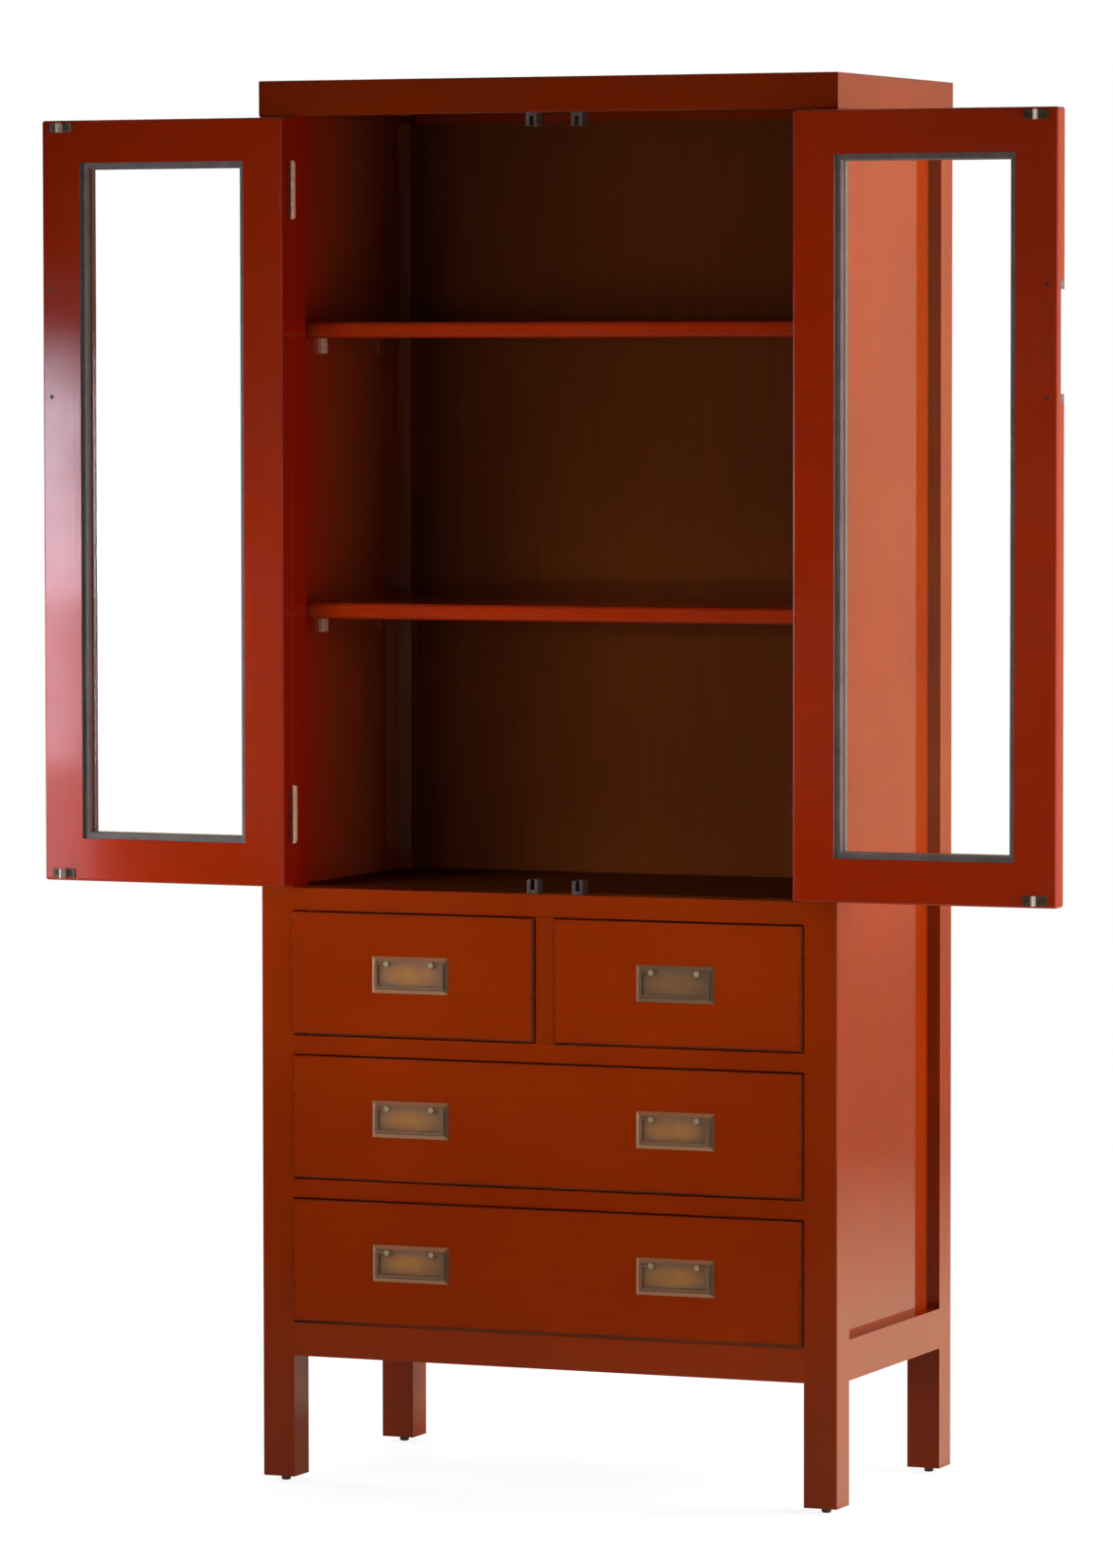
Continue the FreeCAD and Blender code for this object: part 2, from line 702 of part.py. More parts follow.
# Drawers: a front with a housed box behind it, the pulls bolted through
wide = (-jamb + drawer_gap, jamb - drawer_gap)
half_drawer = (-jamb + drawer_gap, -divider_width / 2 - drawer_gap)
pull_places = {"_left": pull_shift - pull_offset, "_right": pull_shift + pull_offset}
drawers = {
    "lower_drawer": (0, wide, pull_places),
    "middle_drawer": (1, wide, pull_places),
    "upper_left_drawer": (2, half_drawer, {"": pull_places["_left"]}),
    "upper_right_drawer": (2, (-half_drawer[1], -half_drawer[0]), {"": pull_places["_right"]}),
}
for name, (row, front_x, pulls) in drawers.items():
    floor = drawer_floors[row]
    front = block(front_x, (front_face, front_back), (floor, floor + drawer_front_height))
    front = rounded(front, drawer_front_ease, lambda middle: near(middle.y, front_face))
    outside = (front_x[0] + drawer_side_inset, front_x[1] - drawer_side_inset)
    inside = (outside[0] + drawer_side_thickness, outside[1] - drawer_side_thickness)
    side_y = (front_back - drawer_housing, drawer_back_edge)
    side_z = (floor + drawer_side_lift, floor + drawer_side_lift + drawer_side_height)
    back_face = drawer_back_edge - drawer_side_thickness
    bottom_floor = floor + drawer_bottom_lift
    bottom = block(
        (inside[0] - drawer_bottom_tongue, inside[1] + drawer_bottom_tongue),
        (front_back - drawer_bottom_tongue, back_face + drawer_bottom_tongue),
        (bottom_floor, bottom_floor + drawer_bottom_thickness),
    )
    back = block(
        (inside[0] - drawer_back_housing, inside[1] + drawer_back_housing),
        (back_face, drawer_back_edge),
        side_z,
    )
    left_side = block((outside[0], inside[0]), side_y, side_z)
    right_side = block((inside[1], outside[1]), side_y, side_z)
    mounts = []
    bolts = []
    for suffix, pull_x in pulls.items():
        pull_z = floor + drawer_front_height / 2 + pull_lift
        fittings, shanks = pull_mount(pull_x, pull_z)
        mounts += fittings
        bolts += shanks
        nodes[name + "_bail" + suffix] = bail(pull_x, pull_z)
    nodes[name + "_front"] = carve(front, [left_side, right_side, bottom] + bolts)
    sides = [carve(side, [bottom, back]) for side in (left_side, right_side)]
    nodes[name + "_box"] = Part.makeCompound(sides + [carve(back, [bottom]), bottom])
    nodes[name + "_pull_mounts"] = Part.makeCompound(mounts)

# The left door, drawn shut: frame outline, opening and rebate
door_y = (0, door_thickness)
stile_width = door_face_width + rebate_width
opening_x = (hinge_edge + stile_width, free_edge - stile_width)
opening_z = (door_low + stile_width, door_high - stile_width)
rebate_x = (hinge_edge + door_face_width, free_edge - door_face_width)
rebate_z = (door_low + door_face_width, door_high - door_face_width)
rebate = block(rebate_x, (door_lip, door_thickness), rebate_z)


def on_door_face(middle):
    """True for an edge of the door's outer or inner face."""
    return near(middle.y, 0) or near(middle.y, door_thickness)


def on_door_end(middle):
    """True for an edge at the door's top or bottom."""
    return near(middle.z, door_low) or near(middle.z, door_high)


def stile(x, outer_x):
    """An upright of the door frame, eased round its outer edges."""
    return rounded(
        block(x, door_y, (door_low, door_high)),
        door_ease,
        lambda middle: near(middle.x, outer_x) or (on_door_end(middle) and on_door_face(middle)),
    )


# Door rails, with tenons into both stiles
door_tenon_y = ((door_thickness - door_tenon_thickness) / 2, (door_thickness + door_tenon_thickness) / 2)
tenon_high = door_face_width - door_tenon_shoulder
door_rails = []
door_tenons = []
for low, high, tenon_z in (
    (door_low, opening_z[0], (door_low + door_tenon_shoulder, door_low + tenon_high)),
    (opening_z[1], door_high, (door_high - tenon_high, door_high - door_tenon_shoulder)),
):
    rail = block(opening_x, door_y, (low, high))
    rail = rounded(rail, door_ease, lambda middle: on_door_end(middle) and on_door_face(middle))
    hinge_tenon = block((opening_x[0] - door_tenon_length, opening_x[0]), door_tenon_y, tenon_z)
    free_tenon = block((opening_x[1], opening_x[1] + door_tenon_length), door_tenon_y, tenon_z)
    door_tenons += [hinge_tenon, free_tenon]
    door_rails.append(join([carve(rail, [rebate]), hinge_tenon, free_tenon]))

# Strikes: a plate on the inner face with a tongue that enters the catch
strike_face = door_thickness + strike_metal
shoulder_y = strike_face + tongue_length - tongue_taper
strikes = []
strike_screws = []
for low in (door_low + strike_edge, door_high - strike_edge - strike_height):
    middle_z = low + strike_height / 2
    plate = block(
        (-catch_offset - strike_width / 2, -catch_offset + strike_width / 2),
        (door_thickness, strike_face),
        (low, low + strike_height),
    )
    tongue_floor = middle_z - tongue_height / 2
    outline = [
        Vector(-catch_offset - tongue_width / 2, strike_face, tongue_floor),
        Vector(-catch_offset + tongue_width / 2, strike_face, tongue_floor),
        Vector(-catch_offset + tongue_width / 2, shoulder_y, tongue_floor),
        Vector(-catch_offset + tongue_tip / 2, strike_face + tongue_length, tongue_floor),
        Vector(-catch_offset - tongue_tip / 2, strike_face + tongue_length, tongue_floor),
        Vector(-catch_offset - tongue_width / 2, shoulder_y, tongue_floor),
    ]
    screws_here = []
    for offset in (-strike_screw_offset, strike_screw_offset):
        screws_here.append((Vector(-catch_offset + offset, strike_face, middle_z), -Y_AXIS))
    holes = [screw_body(at, into) for at, into in screws_here]
    strikes.append(carve(join([plate, prism(outline, Z_AXIS * tongue_height)]), holes))
    strike_screws += screws_here

# Finger pull: a metal lining with solid ends, let into the outer corner of the meeting edge
pull_x = (free_edge - finger_pull_reach, free_edge)
pull_y = (0, finger_pull_depth)
pull_low = finger_pull_middle - finger_pull_length / 2
pull_high = finger_pull_middle + finger_pull_length / 2
finger_pull_notch = block(pull_x, pull_y, (pull_low, pull_high))
meeting_stile = stile((opening_x[1], free_edge), free_edge)
finger_hollow = block(
    (pull_x[0] + finger_pull_wall, pull_x[1]),
    (0, finger_pull_depth - finger_pull_wall),
    (pull_low + finger_pull_end, pull_high - finger_pull_end),
)
pull_screws = []
for z in (pull_low + finger_pull_end / 2, pull_high - finger_pull_end / 2):
    pull_screws.append((Vector(free_edge - finger_pull_screw_inset, door_thickness, z), -Y_AXIS))
pull_holes = [screw_body(at, into, long_screw_length) for at, into in pull_screws]
finger_pull = carve(meeting_stile.common(finger_pull_notch), [finger_hollow] + pull_holes)

# Door screws and stiles, once everything that is let into them is known
door_hinge_screws = hinge_screws(hinge_edge, X_AXIS)
short_screws = door_hinge_screws + strike_screws
short_holes = [screw_body(at, into) for at, into in short_screws]
door_screws = [slotted(screw_body(at, into), at, into) for at, into in short_screws]
door_screws += [slotted(screw_body(at, into, long_screw_length), at, into) for at, into in pull_screws]
hinge_stile_tools = [rebate] + door_tenons + hinge_clearings + door_recesses + short_holes
meeting_stile_tools = [rebate, finger_pull_notch] + door_tenons + short_holes + pull_holes

# Glass and the mitred beads that hold it in the rebate
glass = block(
    (rebate_x[0] + glass_play, rebate_x[1] - glass_play),
    (door_lip, door_lip + glass_thickness),
    (rebate_z[0] + glass_play, rebate_z[1] - glass_play),
)
bead_seat = door_lip + glass_thickness
bead_face = bead_seat + bead_thickness


def corners_at(x, z):
    """The four corners of an upright rectangle against the glass."""
    return [
        Vector(x[0], bead_seat, z[0]),
        Vector(x[1], bead_seat, z[0]),
        Vector(x[1], bead_seat, z[1]),
        Vector(x[0], bead_seat, z[1]),
    ]


def on_bead_rim(middle):
    """True for the edge of a bead that looks on to the glass."""
    on_upright = near(middle.x, opening_x[0]) or near(middle.x, opening_x[1])
    on_level = near(middle.z, opening_z[0]) or near(middle.z, opening_z[1])
    return near(middle.y, bead_face) and (on_upright or on_level)


outer_rim = corners_at(rebate_x, rebate_z)
inner_rim = corners_at(opening_x, opening_z)
beads = []
for bead in mitred_ring(outer_rim, inner_rim, Y_AXIS * bead_thickness):
    rim = [edge for edge in bead.Edges if on_bead_rim(edge.CenterOfMass)]
    beads.append(bead.makeChamfer(bead_chamfer, rim))

door = {
    "hinge_stile": carve(stile((hinge_edge, opening_x[0]), hinge_edge), hinge_stile_tools),
    "meeting_stile": carve(meeting_stile, meeting_stile_tools),
    "rails": Part.makeCompound(door_rails),
    "glass": glass,
    "beads": Part.makeCompound(beads),
    "finger_pull": finger_pull,
    "hinge_leaves": Part.makeCompound([carve(leaf, short_holes) for leaf in door_leaves]),
    "strikes": Part.makeCompound(strikes),
    "screws": Part.makeCompound(door_screws),
}

# Both doors swung open, the right one the mirror image of the left
for name, piece in door.items():
    nodes["left_door_" + name] = piece.rotated(hinge_axis, Z_AXIS, -left_door_angle)
    nodes["right_door_" + name] = mirrored(piece.rotated(hinge_axis, Z_AXIS, -right_door_angle))

# Each piece checked, moved to the shared origin and written out
whole = Part.makeCompound(list(nodes.values())).optimalBoundingBox()
to_origin = Vector(0, -round(whole.Center.y, 2), 0)
os.makedirs("parts", exist_ok=True)
for name, piece in nodes.items():
    if not piece.isValid():
        raise ValueError(name + " isn't a sound solid")
    piece.translated(to_origin).exportStep("parts/" + name + ".step")
print("moved along y by", to_origin.y, "with", len(nodes), "nodes; box", whole)
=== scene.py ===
import math
import bpy
from mathutils import Matrix, Vector


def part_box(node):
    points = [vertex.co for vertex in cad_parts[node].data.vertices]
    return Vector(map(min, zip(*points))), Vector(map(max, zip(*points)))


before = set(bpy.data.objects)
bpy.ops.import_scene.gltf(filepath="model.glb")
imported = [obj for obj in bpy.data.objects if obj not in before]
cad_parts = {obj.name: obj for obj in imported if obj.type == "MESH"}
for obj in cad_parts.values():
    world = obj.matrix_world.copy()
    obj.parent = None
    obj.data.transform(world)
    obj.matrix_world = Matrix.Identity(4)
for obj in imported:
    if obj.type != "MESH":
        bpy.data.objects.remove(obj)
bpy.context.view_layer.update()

# Posts: four square uprights of hardwood that run from the feet to the top frame. They are stained,
# sprayed with red lacquer and rubbed down by hand, so the eased corners show the darker ground coat.
# Inside the cupboard the lacquer carries painted light: a saturated red of bounced light near the front,
# brighter and more orange further in and on the rear posts. The front of the legs carries painted shade,
# darker towards the floor.
LACQUER_DEEP = (0.185, 0.0155, 0.0006, 1.0)
LACQUER_WARM = (0.225, 0.0215, 0.0009, 1.0)
LACQUER_GROUND = (0.052, 0.0075, 0.0022, 1.0)
# Painted light: the red of bounced light inside the cupboard, and the brighter colours further in and on the
# rear posts.
PAINTED_BOUNCE_RED = (0.25, 0.0055, 0.0004, 1.0)
PAINTED_LIGHT_DEEP_IN = (0.28, 0.042, 0.009, 1.0)
PAINTED_LIGHT_REAR_POST = (0.26, 0.075, 0.018, 1.0)
LACQUER_ROUGH = (0.045, 0.105)
LACQUER_SHINE = 0.5
EDGE_WEAR_AND_LIGHT = 0.35
LEAST_WEAR_AND_LIGHT = 0.4
ALONG_X = (0, 90)
ALONG_Y = (90, 0)
ALONG_Z = (0, 0)
CLOUDS_PER_METRE = 3.2
SMUDGES_PER_METRE = 9
STREAKS_PER_METRE = 160
FINE_STREAKS_PER_METRE = 5 * STREAKS_PER_METRE
STREAK_LENGTHENING = 0.035
STREAK_SHARE = 0.1
FINE_STREAK_HEIGHT = 0.4
EVEN_SPAN = (0.3, 0.7)
PATCHY_SPAN = (0.35, 0.7)
SPARSE_SPAN = (0.35, 0.75)
WEAR_AND_LIGHT_SPAN = (0.3, 0.6)
FLAT_TO_EASED = (0.99, 0.9)


def put(tree, kind, inputs=None, **settings):
    """A shader node with its settings made, and its inputs given a value or joined to another node."""
    node = tree.nodes.new(kind)
    for name, value in settings.items():
        setattr(node, name, value)
    for name, value in (inputs or {}).items():
        if isinstance(value, bpy.types.NodeSocket):
            tree.links.new(value, node.inputs[name])
        else:
            node.inputs[name].default_value = value
    return node


def blended(tree, share, first, second):
    """A colour between two others; the colour sockets of the node are numbers 6 and 7."""
    inputs = {0: share, 6: first, 7: second}
    return put(tree, "ShaderNodeMix", inputs, data_type="RGBA").outputs[2]


def noise(tree, place, scale, detail, rough):
    """Even noise at so many features a metre, as one number."""
    inputs = {"Vector": place, "Scale": scale, "Detail": detail, "Roughness": rough}
    return put(tree, "ShaderNodeTexNoise", inputs).outputs["Fac"]


def stretch(tree, value, span, to=(0, 1)):
    """A number moved from one range to another and held inside it."""
    inputs = {"Value": value, "From Min": span[0], "From Max": span[1], "To Min": to[0], "To Max": to[1]}
    return put(tree, "ShaderNodeMapRange", inputs).outputs["Result"]


def sum_up(tree, first, way, second=0):
    """Two numbers put together by the named sum, or one number changed by it."""
    return put(tree, "ShaderNodeMath", {0: first, 1: second}, operation=way).outputs["Value"]


def relief(tree, height, strength, depth):
    """The normal of a face with fine relief, so many metres deep."""
    inputs = {"Height": height, "Strength": strength, "Distance": depth}
    return put(tree, "ShaderNodeBump", inputs).outputs["Normal"]


def place_on(tree):
    """The place on a piece as the cabinet stands at rest, in metres."""
    return put(tree, "ShaderNodeTexCoord").outputs["Object"]


def way_faced(tree):
    """The way that a face of a piece looks."""
    return put(tree, "ShaderNodeTexCoord").outputs["Normal"]


def along_axes(tree, vector):
    """The three numbers of a place or of a way faced, by the letters of their axes."""
    return put(tree, "ShaderNodeSeparateXYZ", {"Vector": vector}).outputs


def empty_finish(name):
    """A material without nodes."""
    finish = bpy.data.materials.new(name)
    finish.use_nodes = True
    finish.node_tree.nodes.clear()
    return finish, finish.node_tree


def new_finish(name):
    """A material with its shader, ready for its nodes."""
    finish, tree = empty_finish(name)
    shader = put(tree, "ShaderNodeBsdfPrincipled")
    put(tree, "ShaderNodeOutputMaterial", {"Surface": shader.outputs["BSDF"]})
    return finish, tree, shader


def feed(tree, shader, **inputs):
    """A shader's inputs set or joined, by their names with underscores for spaces."""
    for name, value in inputs.items():
        socket = shader.inputs[name.replace("_", " ")]
        if isinstance(value, bpy.types.NodeSocket):
            tree.links.new(value, socket)
        else:
            socket.default_value = value


def along_grain(tree, grain):
    """The place on a piece, drawn out along its grain, which is turned about x and y into the z axis."""
    place = place_on(tree)
    turn = (math.radians(grain[0]), math.radians(grain[1]), 0)
    turned = put(tree, "ShaderNodeMapping", {"Vector": place, "Rotation": turn}).outputs["Vector"]
    long_scale = (1, 1, STREAK_LENGTHENING)
    return place, put(tree, "ShaderNodeMapping", {"Vector": turned, "Scale": long_scale}).outputs["Vector"]


def eased_edges(tree):
    """One on the eased edges of a square piece, where its own normal lies along no axis, else nought."""
    upright = put(tree, "ShaderNodeVectorMath", {0: way_faced(tree)}, operation="ABSOLUTE")
    facing = along_axes(tree, upright.outputs["Vector"])
    widest = sum_up(tree, facing["X"], "MAXIMUM", facing["Y"])
    widest = sum_up(tree, widest, "MAXIMUM", facing["Z"])
    return stretch(tree, widest, FLAT_TO_EASED)


panel_low, panel_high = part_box("side_panel_right")
CUPBOARD_HALF = (panel_low[0] + panel_high[0]) / 2
CUPBOARD_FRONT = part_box("post_front_right")[0][1]
CUPBOARD_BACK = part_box("back_panel")[1][1]
CUPBOARD_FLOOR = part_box("display_floor")[0][2]
EDGE_OF_FRONT = 0.004
# Where the painted light inside the cupboard changes colour, measured back from the front.
PAINTED_LIGHT_CHANGE_STARTS = 0.06
PAINTED_LIGHT_CHANGE_ENDS = 0.3


def in_cupboard(tree):
    """One on faces inside the cupboard, else nought, and how far in they are, from nought to one."""
    spot = along_axes(tree, place_on(tree))
    across = sum_up(tree, spot["X"], "ABSOLUTE")
    within = sum_up(tree, across, "LESS_THAN", CUPBOARD_HALF)
    behind = sum_up(tree, spot["Y"], "GREATER_THAN", CUPBOARD_FRONT + EDGE_OF_FRONT)
    before = sum_up(tree, spot["Y"], "LESS_THAN", CUPBOARD_BACK)
    above = sum_up(tree, spot["Z"], "GREATER_THAN", CUPBOARD_FLOOR)
    share = sum_up(tree, sum_up(tree, within, "MULTIPLY", behind), "MULTIPLY", above)
    share = sum_up(tree, share, "MULTIPLY", before)
    change = (CUPBOARD_FRONT + PAINTED_LIGHT_CHANGE_STARTS, CUPBOARD_FRONT + PAINTED_LIGHT_CHANGE_ENDS)
    return share, stretch(tree, spot["Y"], change)


def inside_painted_light(depth):
    """Painted light inside the cupboard: a saturated red of bounced light that runs into another colour
    towards the back.
    """
    def recolour(tree):
        share, far_in = in_cupboard(tree)
        return share, blended(tree, far_in, PAINTED_BOUNCE_RED, depth)
    return recolour


def lacquer(
    name,
    grain,
    wear_and_light_share=EDGE_WEAR_AND_LIGHT,
    colours=(LACQUER_DEEP, LACQUER_WARM),
    coats_and_painted_light=(),
    wear_and_light_colour=LACQUER_GROUND,
    edges=eased_edges,
    shine=LACQUER_SHINE,
):
    """Red lacquer with soft clouds, the grain showing faintly through, edges that show wear, a painted
    highlight or painted shade, and any coats or painted light laid over it.
    """
    finish, tree, shader = new_finish(name)
    place, drawn_out = along_grain(tree, grain)
    clouds = noise(tree, place, CLOUDS_PER_METRE, detail=3, rough=0.55)
    streaks = noise(tree, drawn_out, STREAKS_PER_METRE, detail=4, rough=0.6)
    fine = noise(tree, drawn_out, FINE_STREAKS_PER_METRE, detail=3, rough=0.6)
    smudges = noise(tree, place, SMUDGES_PER_METRE, detail=4, rough=0.6)
    colour = blended(tree, stretch(tree, clouds, EVEN_SPAN), *colours)
    for recolour in coats_and_painted_light:
        share, over = recolour(tree)
        colour = blended(tree, share, colour, over)
    grained = stretch(tree, streaks, SPARSE_SPAN, (0, STREAK_SHARE))
    colour = blended(tree, grained, colour, LACQUER_GROUND)
    # The edges take their own colour: worn dark ground on most pieces, a painted highlight on the door
    # frames and painted shade on the drawer fronts.
    wear_and_light_strength = stretch(tree, streaks, WEAR_AND_LIGHT_SPAN, (LEAST_WEAR_AND_LIGHT * wear_and_light_share, wear_and_light_share))
    marked_share = sum_up(tree, edges(tree), "MULTIPLY", wear_and_light_strength)
    polish = stretch(tree, smudges, EVEN_SPAN, LACQUER_ROUGH)
    height = sum_up(tree, streaks, "ADD", sum_up(tree, fine, "MULTIPLY", FINE_STREAK_HEIGHT))
    feed(
        tree,
        shader,
        Base_Color=blended(tree, marked_share, colour, wear_and_light_colour),
        Roughness=sum_up(tree, polish, "ADD", marked_share),
        Specular_IOR_Level=shine,
        Normal=relief(tree, height, strength=0.03, depth=0.0006),
    )
    return finish


def dress(finish, *names):
    """A finish put on the frame's own pieces."""
    for name in names:
        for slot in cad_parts[name].material_slots:
            slot.material = finish


# Painted shade on the front of the legs, towards the floor.
FOOT_SHADE = (0.17, 0.0155, 0.0008, 1.0)
FOOT_HEIGHTS = (0.12, 0.3)
FACING_FRONT = (-0.5, -0.9)


def foot_shade(tree):
    """Painted shade: the lacquer darker on the front of the legs, towards the floor."""
    low_down = stretch(tree, along_axes(tree, place_on(tree))["Z"], FOOT_HEIGHTS, (1, 0))
    in_front = stretch(tree, along_axes(tree, way_faced(tree))["Y"], FACING_FRONT)
    return sum_up(tree, low_down, "MULTIPLY", in_front), FOOT_SHADE


upright_lacquer = lacquer("upright_lacquer", ALONG_Z, coats_and_painted_light=[inside_painted_light(PAINTED_LIGHT_DEEP_IN), foot_shade])
dress(upright_lacquer, "post_front_left", "post_front_right")
rear_lacquer = lacquer("rear_lacquer", ALONG_Z, coats_and_painted_light=[inside_painted_light(PAINTED_LIGHT_REAR_POST), foot_shade])
dress(rear_lacquer, "post_rear_left", "post_rear_right")

# Glides: four turned feet of hard grey-brown plastic, each held by a nail up into its post. They keep
# the lacquer off the floor and are scuffed where they stand.
GLIDE_DARK = (0.035, 0.026, 0.02, 1.0)
GLIDE_PALE = (0.12, 0.095, 0.075, 1.0)
GLIDE_ROUGH = (0.4, 0.65)
SCUFFS_PER_METRE = 420
glide_finish, tree, shader = new_finish("glide_plastic")
scuffs = noise(tree, place_on(tree), SCUFFS_PER_METRE, detail=4, rough=0.65)
feed(
    tree,
    shader,
    Base_Color=blended(tree, stretch(tree, scuffs, SPARSE_SPAN), GLIDE_DARK, GLIDE_PALE),
    Roughness=stretch(tree, scuffs, EVEN_SPAN, GLIDE_ROUGH),
)
dress(glide_finish, "leg_glides")

# Base rails: the front, side and back rails that tie the posts together above the legs. Each is a
# straight board tenoned into the posts, lacquered with its grain level.
level_lacquer = lacquer("level_lacquer", ALONG_X)
dress(level_lacquer, "base_rail_front", "base_rails")

# Front rails: the drawer rails, the sill under the doors and the short upright between the upper
# drawers. They are tenoned flush between the posts and lacquered with them.
dress(level_lacquer, "drawer_rails", "sill_rail")
dress(upright_lacquer, "drawer_divider")

# Top: four members mitred at the corners, holding a panel in a groove, all in the same lacquer painted
# darker as shade, for the light falling off towards the top. The posts are tenoned up into the corners.
# Painted shade: the top darker than the rest, as the light falls off towards the top.
TOP_SHADED_DEEP = (0.138, 0.0118, 0.0006, 1.0)
TOP_SHADED_WARM = (0.166, 0.0149, 0.0008, 1.0)
dress(lacquer("top_lacquer", ALONG_X, colours=(TOP_SHADED_DEEP, TOP_SHADED_WARM)), "top_frame", "top_panel")

# Side panels: one board each side, held in grooves of posts and rails. The outside is lacquered and polished
# like the posts, and the inside carries the painted light of the cupboard: a saturated red of bounced light
# near the front, brighter further in.
panel_lacquer = lacquer("panel_lacquer", ALONG_Z, coats_and_painted_light=[inside_painted_light(PAINTED_LIGHT_DEEP_IN)])
dress(panel_lacquer, "side_panel_left", "side_panel_right")

# Back panel and display floor: thin boards closing the cupboard. They have one dull coat of a darker,
# browner stain with the grain still open, and painted shade darkens them towards the right.
STAIN_DEEP = (0.067, 0.0142, 0.0022, 1.0)
STAIN_WARM = (0.089, 0.019, 0.003, 1.0)
# Painted shade: the stain darker towards the right.
STAIN_SHADE = (0.04, 0.0082, 0.0014, 1.0)
STAIN_CLOUDING = (0.5, 1.2)
STAIN_SPAN = (0.15, 0.6)
STAIN_SHADING = 0.6
STAIN_ROUGH = (0.55, 0.7)
STAIN_SHINE = 0.02


def stain(name, grain):
    """A dull brown-red stain that leaves the grain open, with painted shade darker towards the right."""
    finish, tree, shader = new_finish(name)
    place, drawn_out = along_grain(tree, grain)
    streaks = noise(tree, drawn_out, STREAKS_PER_METRE, detail=5, rough=0.65)
    clouds = noise(tree, place, CLOUDS_PER_METRE, detail=3, rough=0.5)
    clouded = sum_up(tree, streaks, "MULTIPLY", stretch(tree, clouds, EVEN_SPAN, STAIN_CLOUDING))
    colour = blended(tree, stretch(tree, clouded, STAIN_SPAN), STAIN_DEEP, STAIN_WARM)
    # Painted shade, darker towards the right.
    across = along_axes(tree, place)["X"]
    shade_to_right = stretch(tree, across, (0, CUPBOARD_HALF), (0, STAIN_SHADING))
    feed(
        tree,
        shader,
        Base_Color=blended(tree, shade_to_right, colour, STAIN_SHADE),
        Roughness=stretch(tree, streaks, EVEN_SPAN, STAIN_ROUGH),
        Specular_IOR_Level=STAIN_SHINE,
        Normal=relief(tree, streaks, strength=0.25, depth=0.0005),
    )
    return finish


dress(stain("upright_stain", ALONG_Z), "back_panel")
dress(stain("level_stain", ALONG_X), "display_floor")

# Runners and cleats: strips of bare planed wood glued and pinned to the posts, on which the drawers
# slide and the display floor rests. Wax and wear darken them.
BARE_PALE = (0.42, 0.25, 0.115, 1.0)
BARE_DARK = (0.24, 0.12, 0.05, 1.0)
BARE_STREAKS_PER_METRE = 1.6 * STREAKS_PER_METRE
BARE_CLOUDS_PER_METRE = 2 * CLOUDS_PER_METRE
BARE_CLOUD_SPAN = (0.4, 0.8)
BARE_CLOUD_SHARE = 0.4
BARE_ROUGH = (0.5, 0.72)


def bare_wood(name, grain):
    """Planed wood without a finish, streaked along its grain."""
    finish, tree, shader = new_finish(name)
    place, drawn_out = along_grain(tree, grain)
    streaks = noise(tree, drawn_out, BARE_STREAKS_PER_METRE, detail=5, rough=0.7)
    clouds = noise(tree, place, BARE_CLOUDS_PER_METRE, detail=3, rough=0.5)
    colour = blended(tree, stretch(tree, streaks, EVEN_SPAN), BARE_PALE, BARE_DARK)
    clouded = stretch(tree, clouds, BARE_CLOUD_SPAN, (0, BARE_CLOUD_SHARE))
    feed(
        tree,
        shader,
        Base_Color=blended(tree, clouded, colour, BARE_DARK),
        Roughness=stretch(tree, streaks, EVEN_SPAN, BARE_ROUGH),
        Normal=relief(tree, streaks, strength=0.3, depth=0.0005),
    )
    return finish


deep_wood = bare_wood("deep_bare_wood", ALONG_Y)
dress(deep_wood, "runners_and_cleats")

# Shelves: two loose boards on pegs, notched round the rear posts. Their front edges are rounded over,
# and the lacquer is a shade redder than outside and hardly worn.
SHELF_DEEP = (0.225, 0.0135, 0.0006, 1.0)
SHELF_WARM = (0.265, 0.0165, 0.0008, 1.0)
SHELF_WEAR = 0.1
shelf_lacquer = lacquer("shelf_lacquer", ALONG_X, wear_and_light_share=SHELF_WEAR, colours=(SHELF_DEEP, SHELF_WARM))
dress(shelf_lacquer, "shelf_lower", "shelf_upper")

# Shelf pegs, hinge leaves and hinge pins: cast and pressed brass, bright when new and now dulled to a soft
# pinkish yellow. The doors' leaves are painted red with the doors. The rear pegs are coloured like the wall
# behind them, painted shade for the shadow they sit in.
BRASS_BRIGHT = (0.72, 0.40, 0.28, 1.0)
BRASS_DULL = (0.46, 0.24, 0.15, 1.0)
BRASS_METAL = 0.2
BRASS_ROUGH = (0.28, 0.46)
LEAF_RED = (0.15, 0.007, 0.0005, 1.0)
TARNISH_PER_METRE = 130
SCRATCHES_PER_METRE = 900
pin_low, pin_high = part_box("hinge_pins")
PIN_Y = (pin_low[1] + pin_high[1]) / 2
KNUCKLE_REACH = 0.0045
FRONT_PEG_REACH = 0.2
REAR_PEGS = PIN_Y + FRONT_PEG_REACH
brass_finish, tree, shader = new_finish("dulled_brass")
place = place_on(tree)
tarnish = noise(tree, place, TARNISH_PER_METRE, detail=5, rough=0.65)
scratches = noise(tree, place, SCRATCHES_PER_METRE, detail=3, rough=0.6)
depth = along_axes(tree, place)["Y"]
on_door = sum_up(tree, depth, "LESS_THAN", PIN_Y - KNUCKLE_REACH)
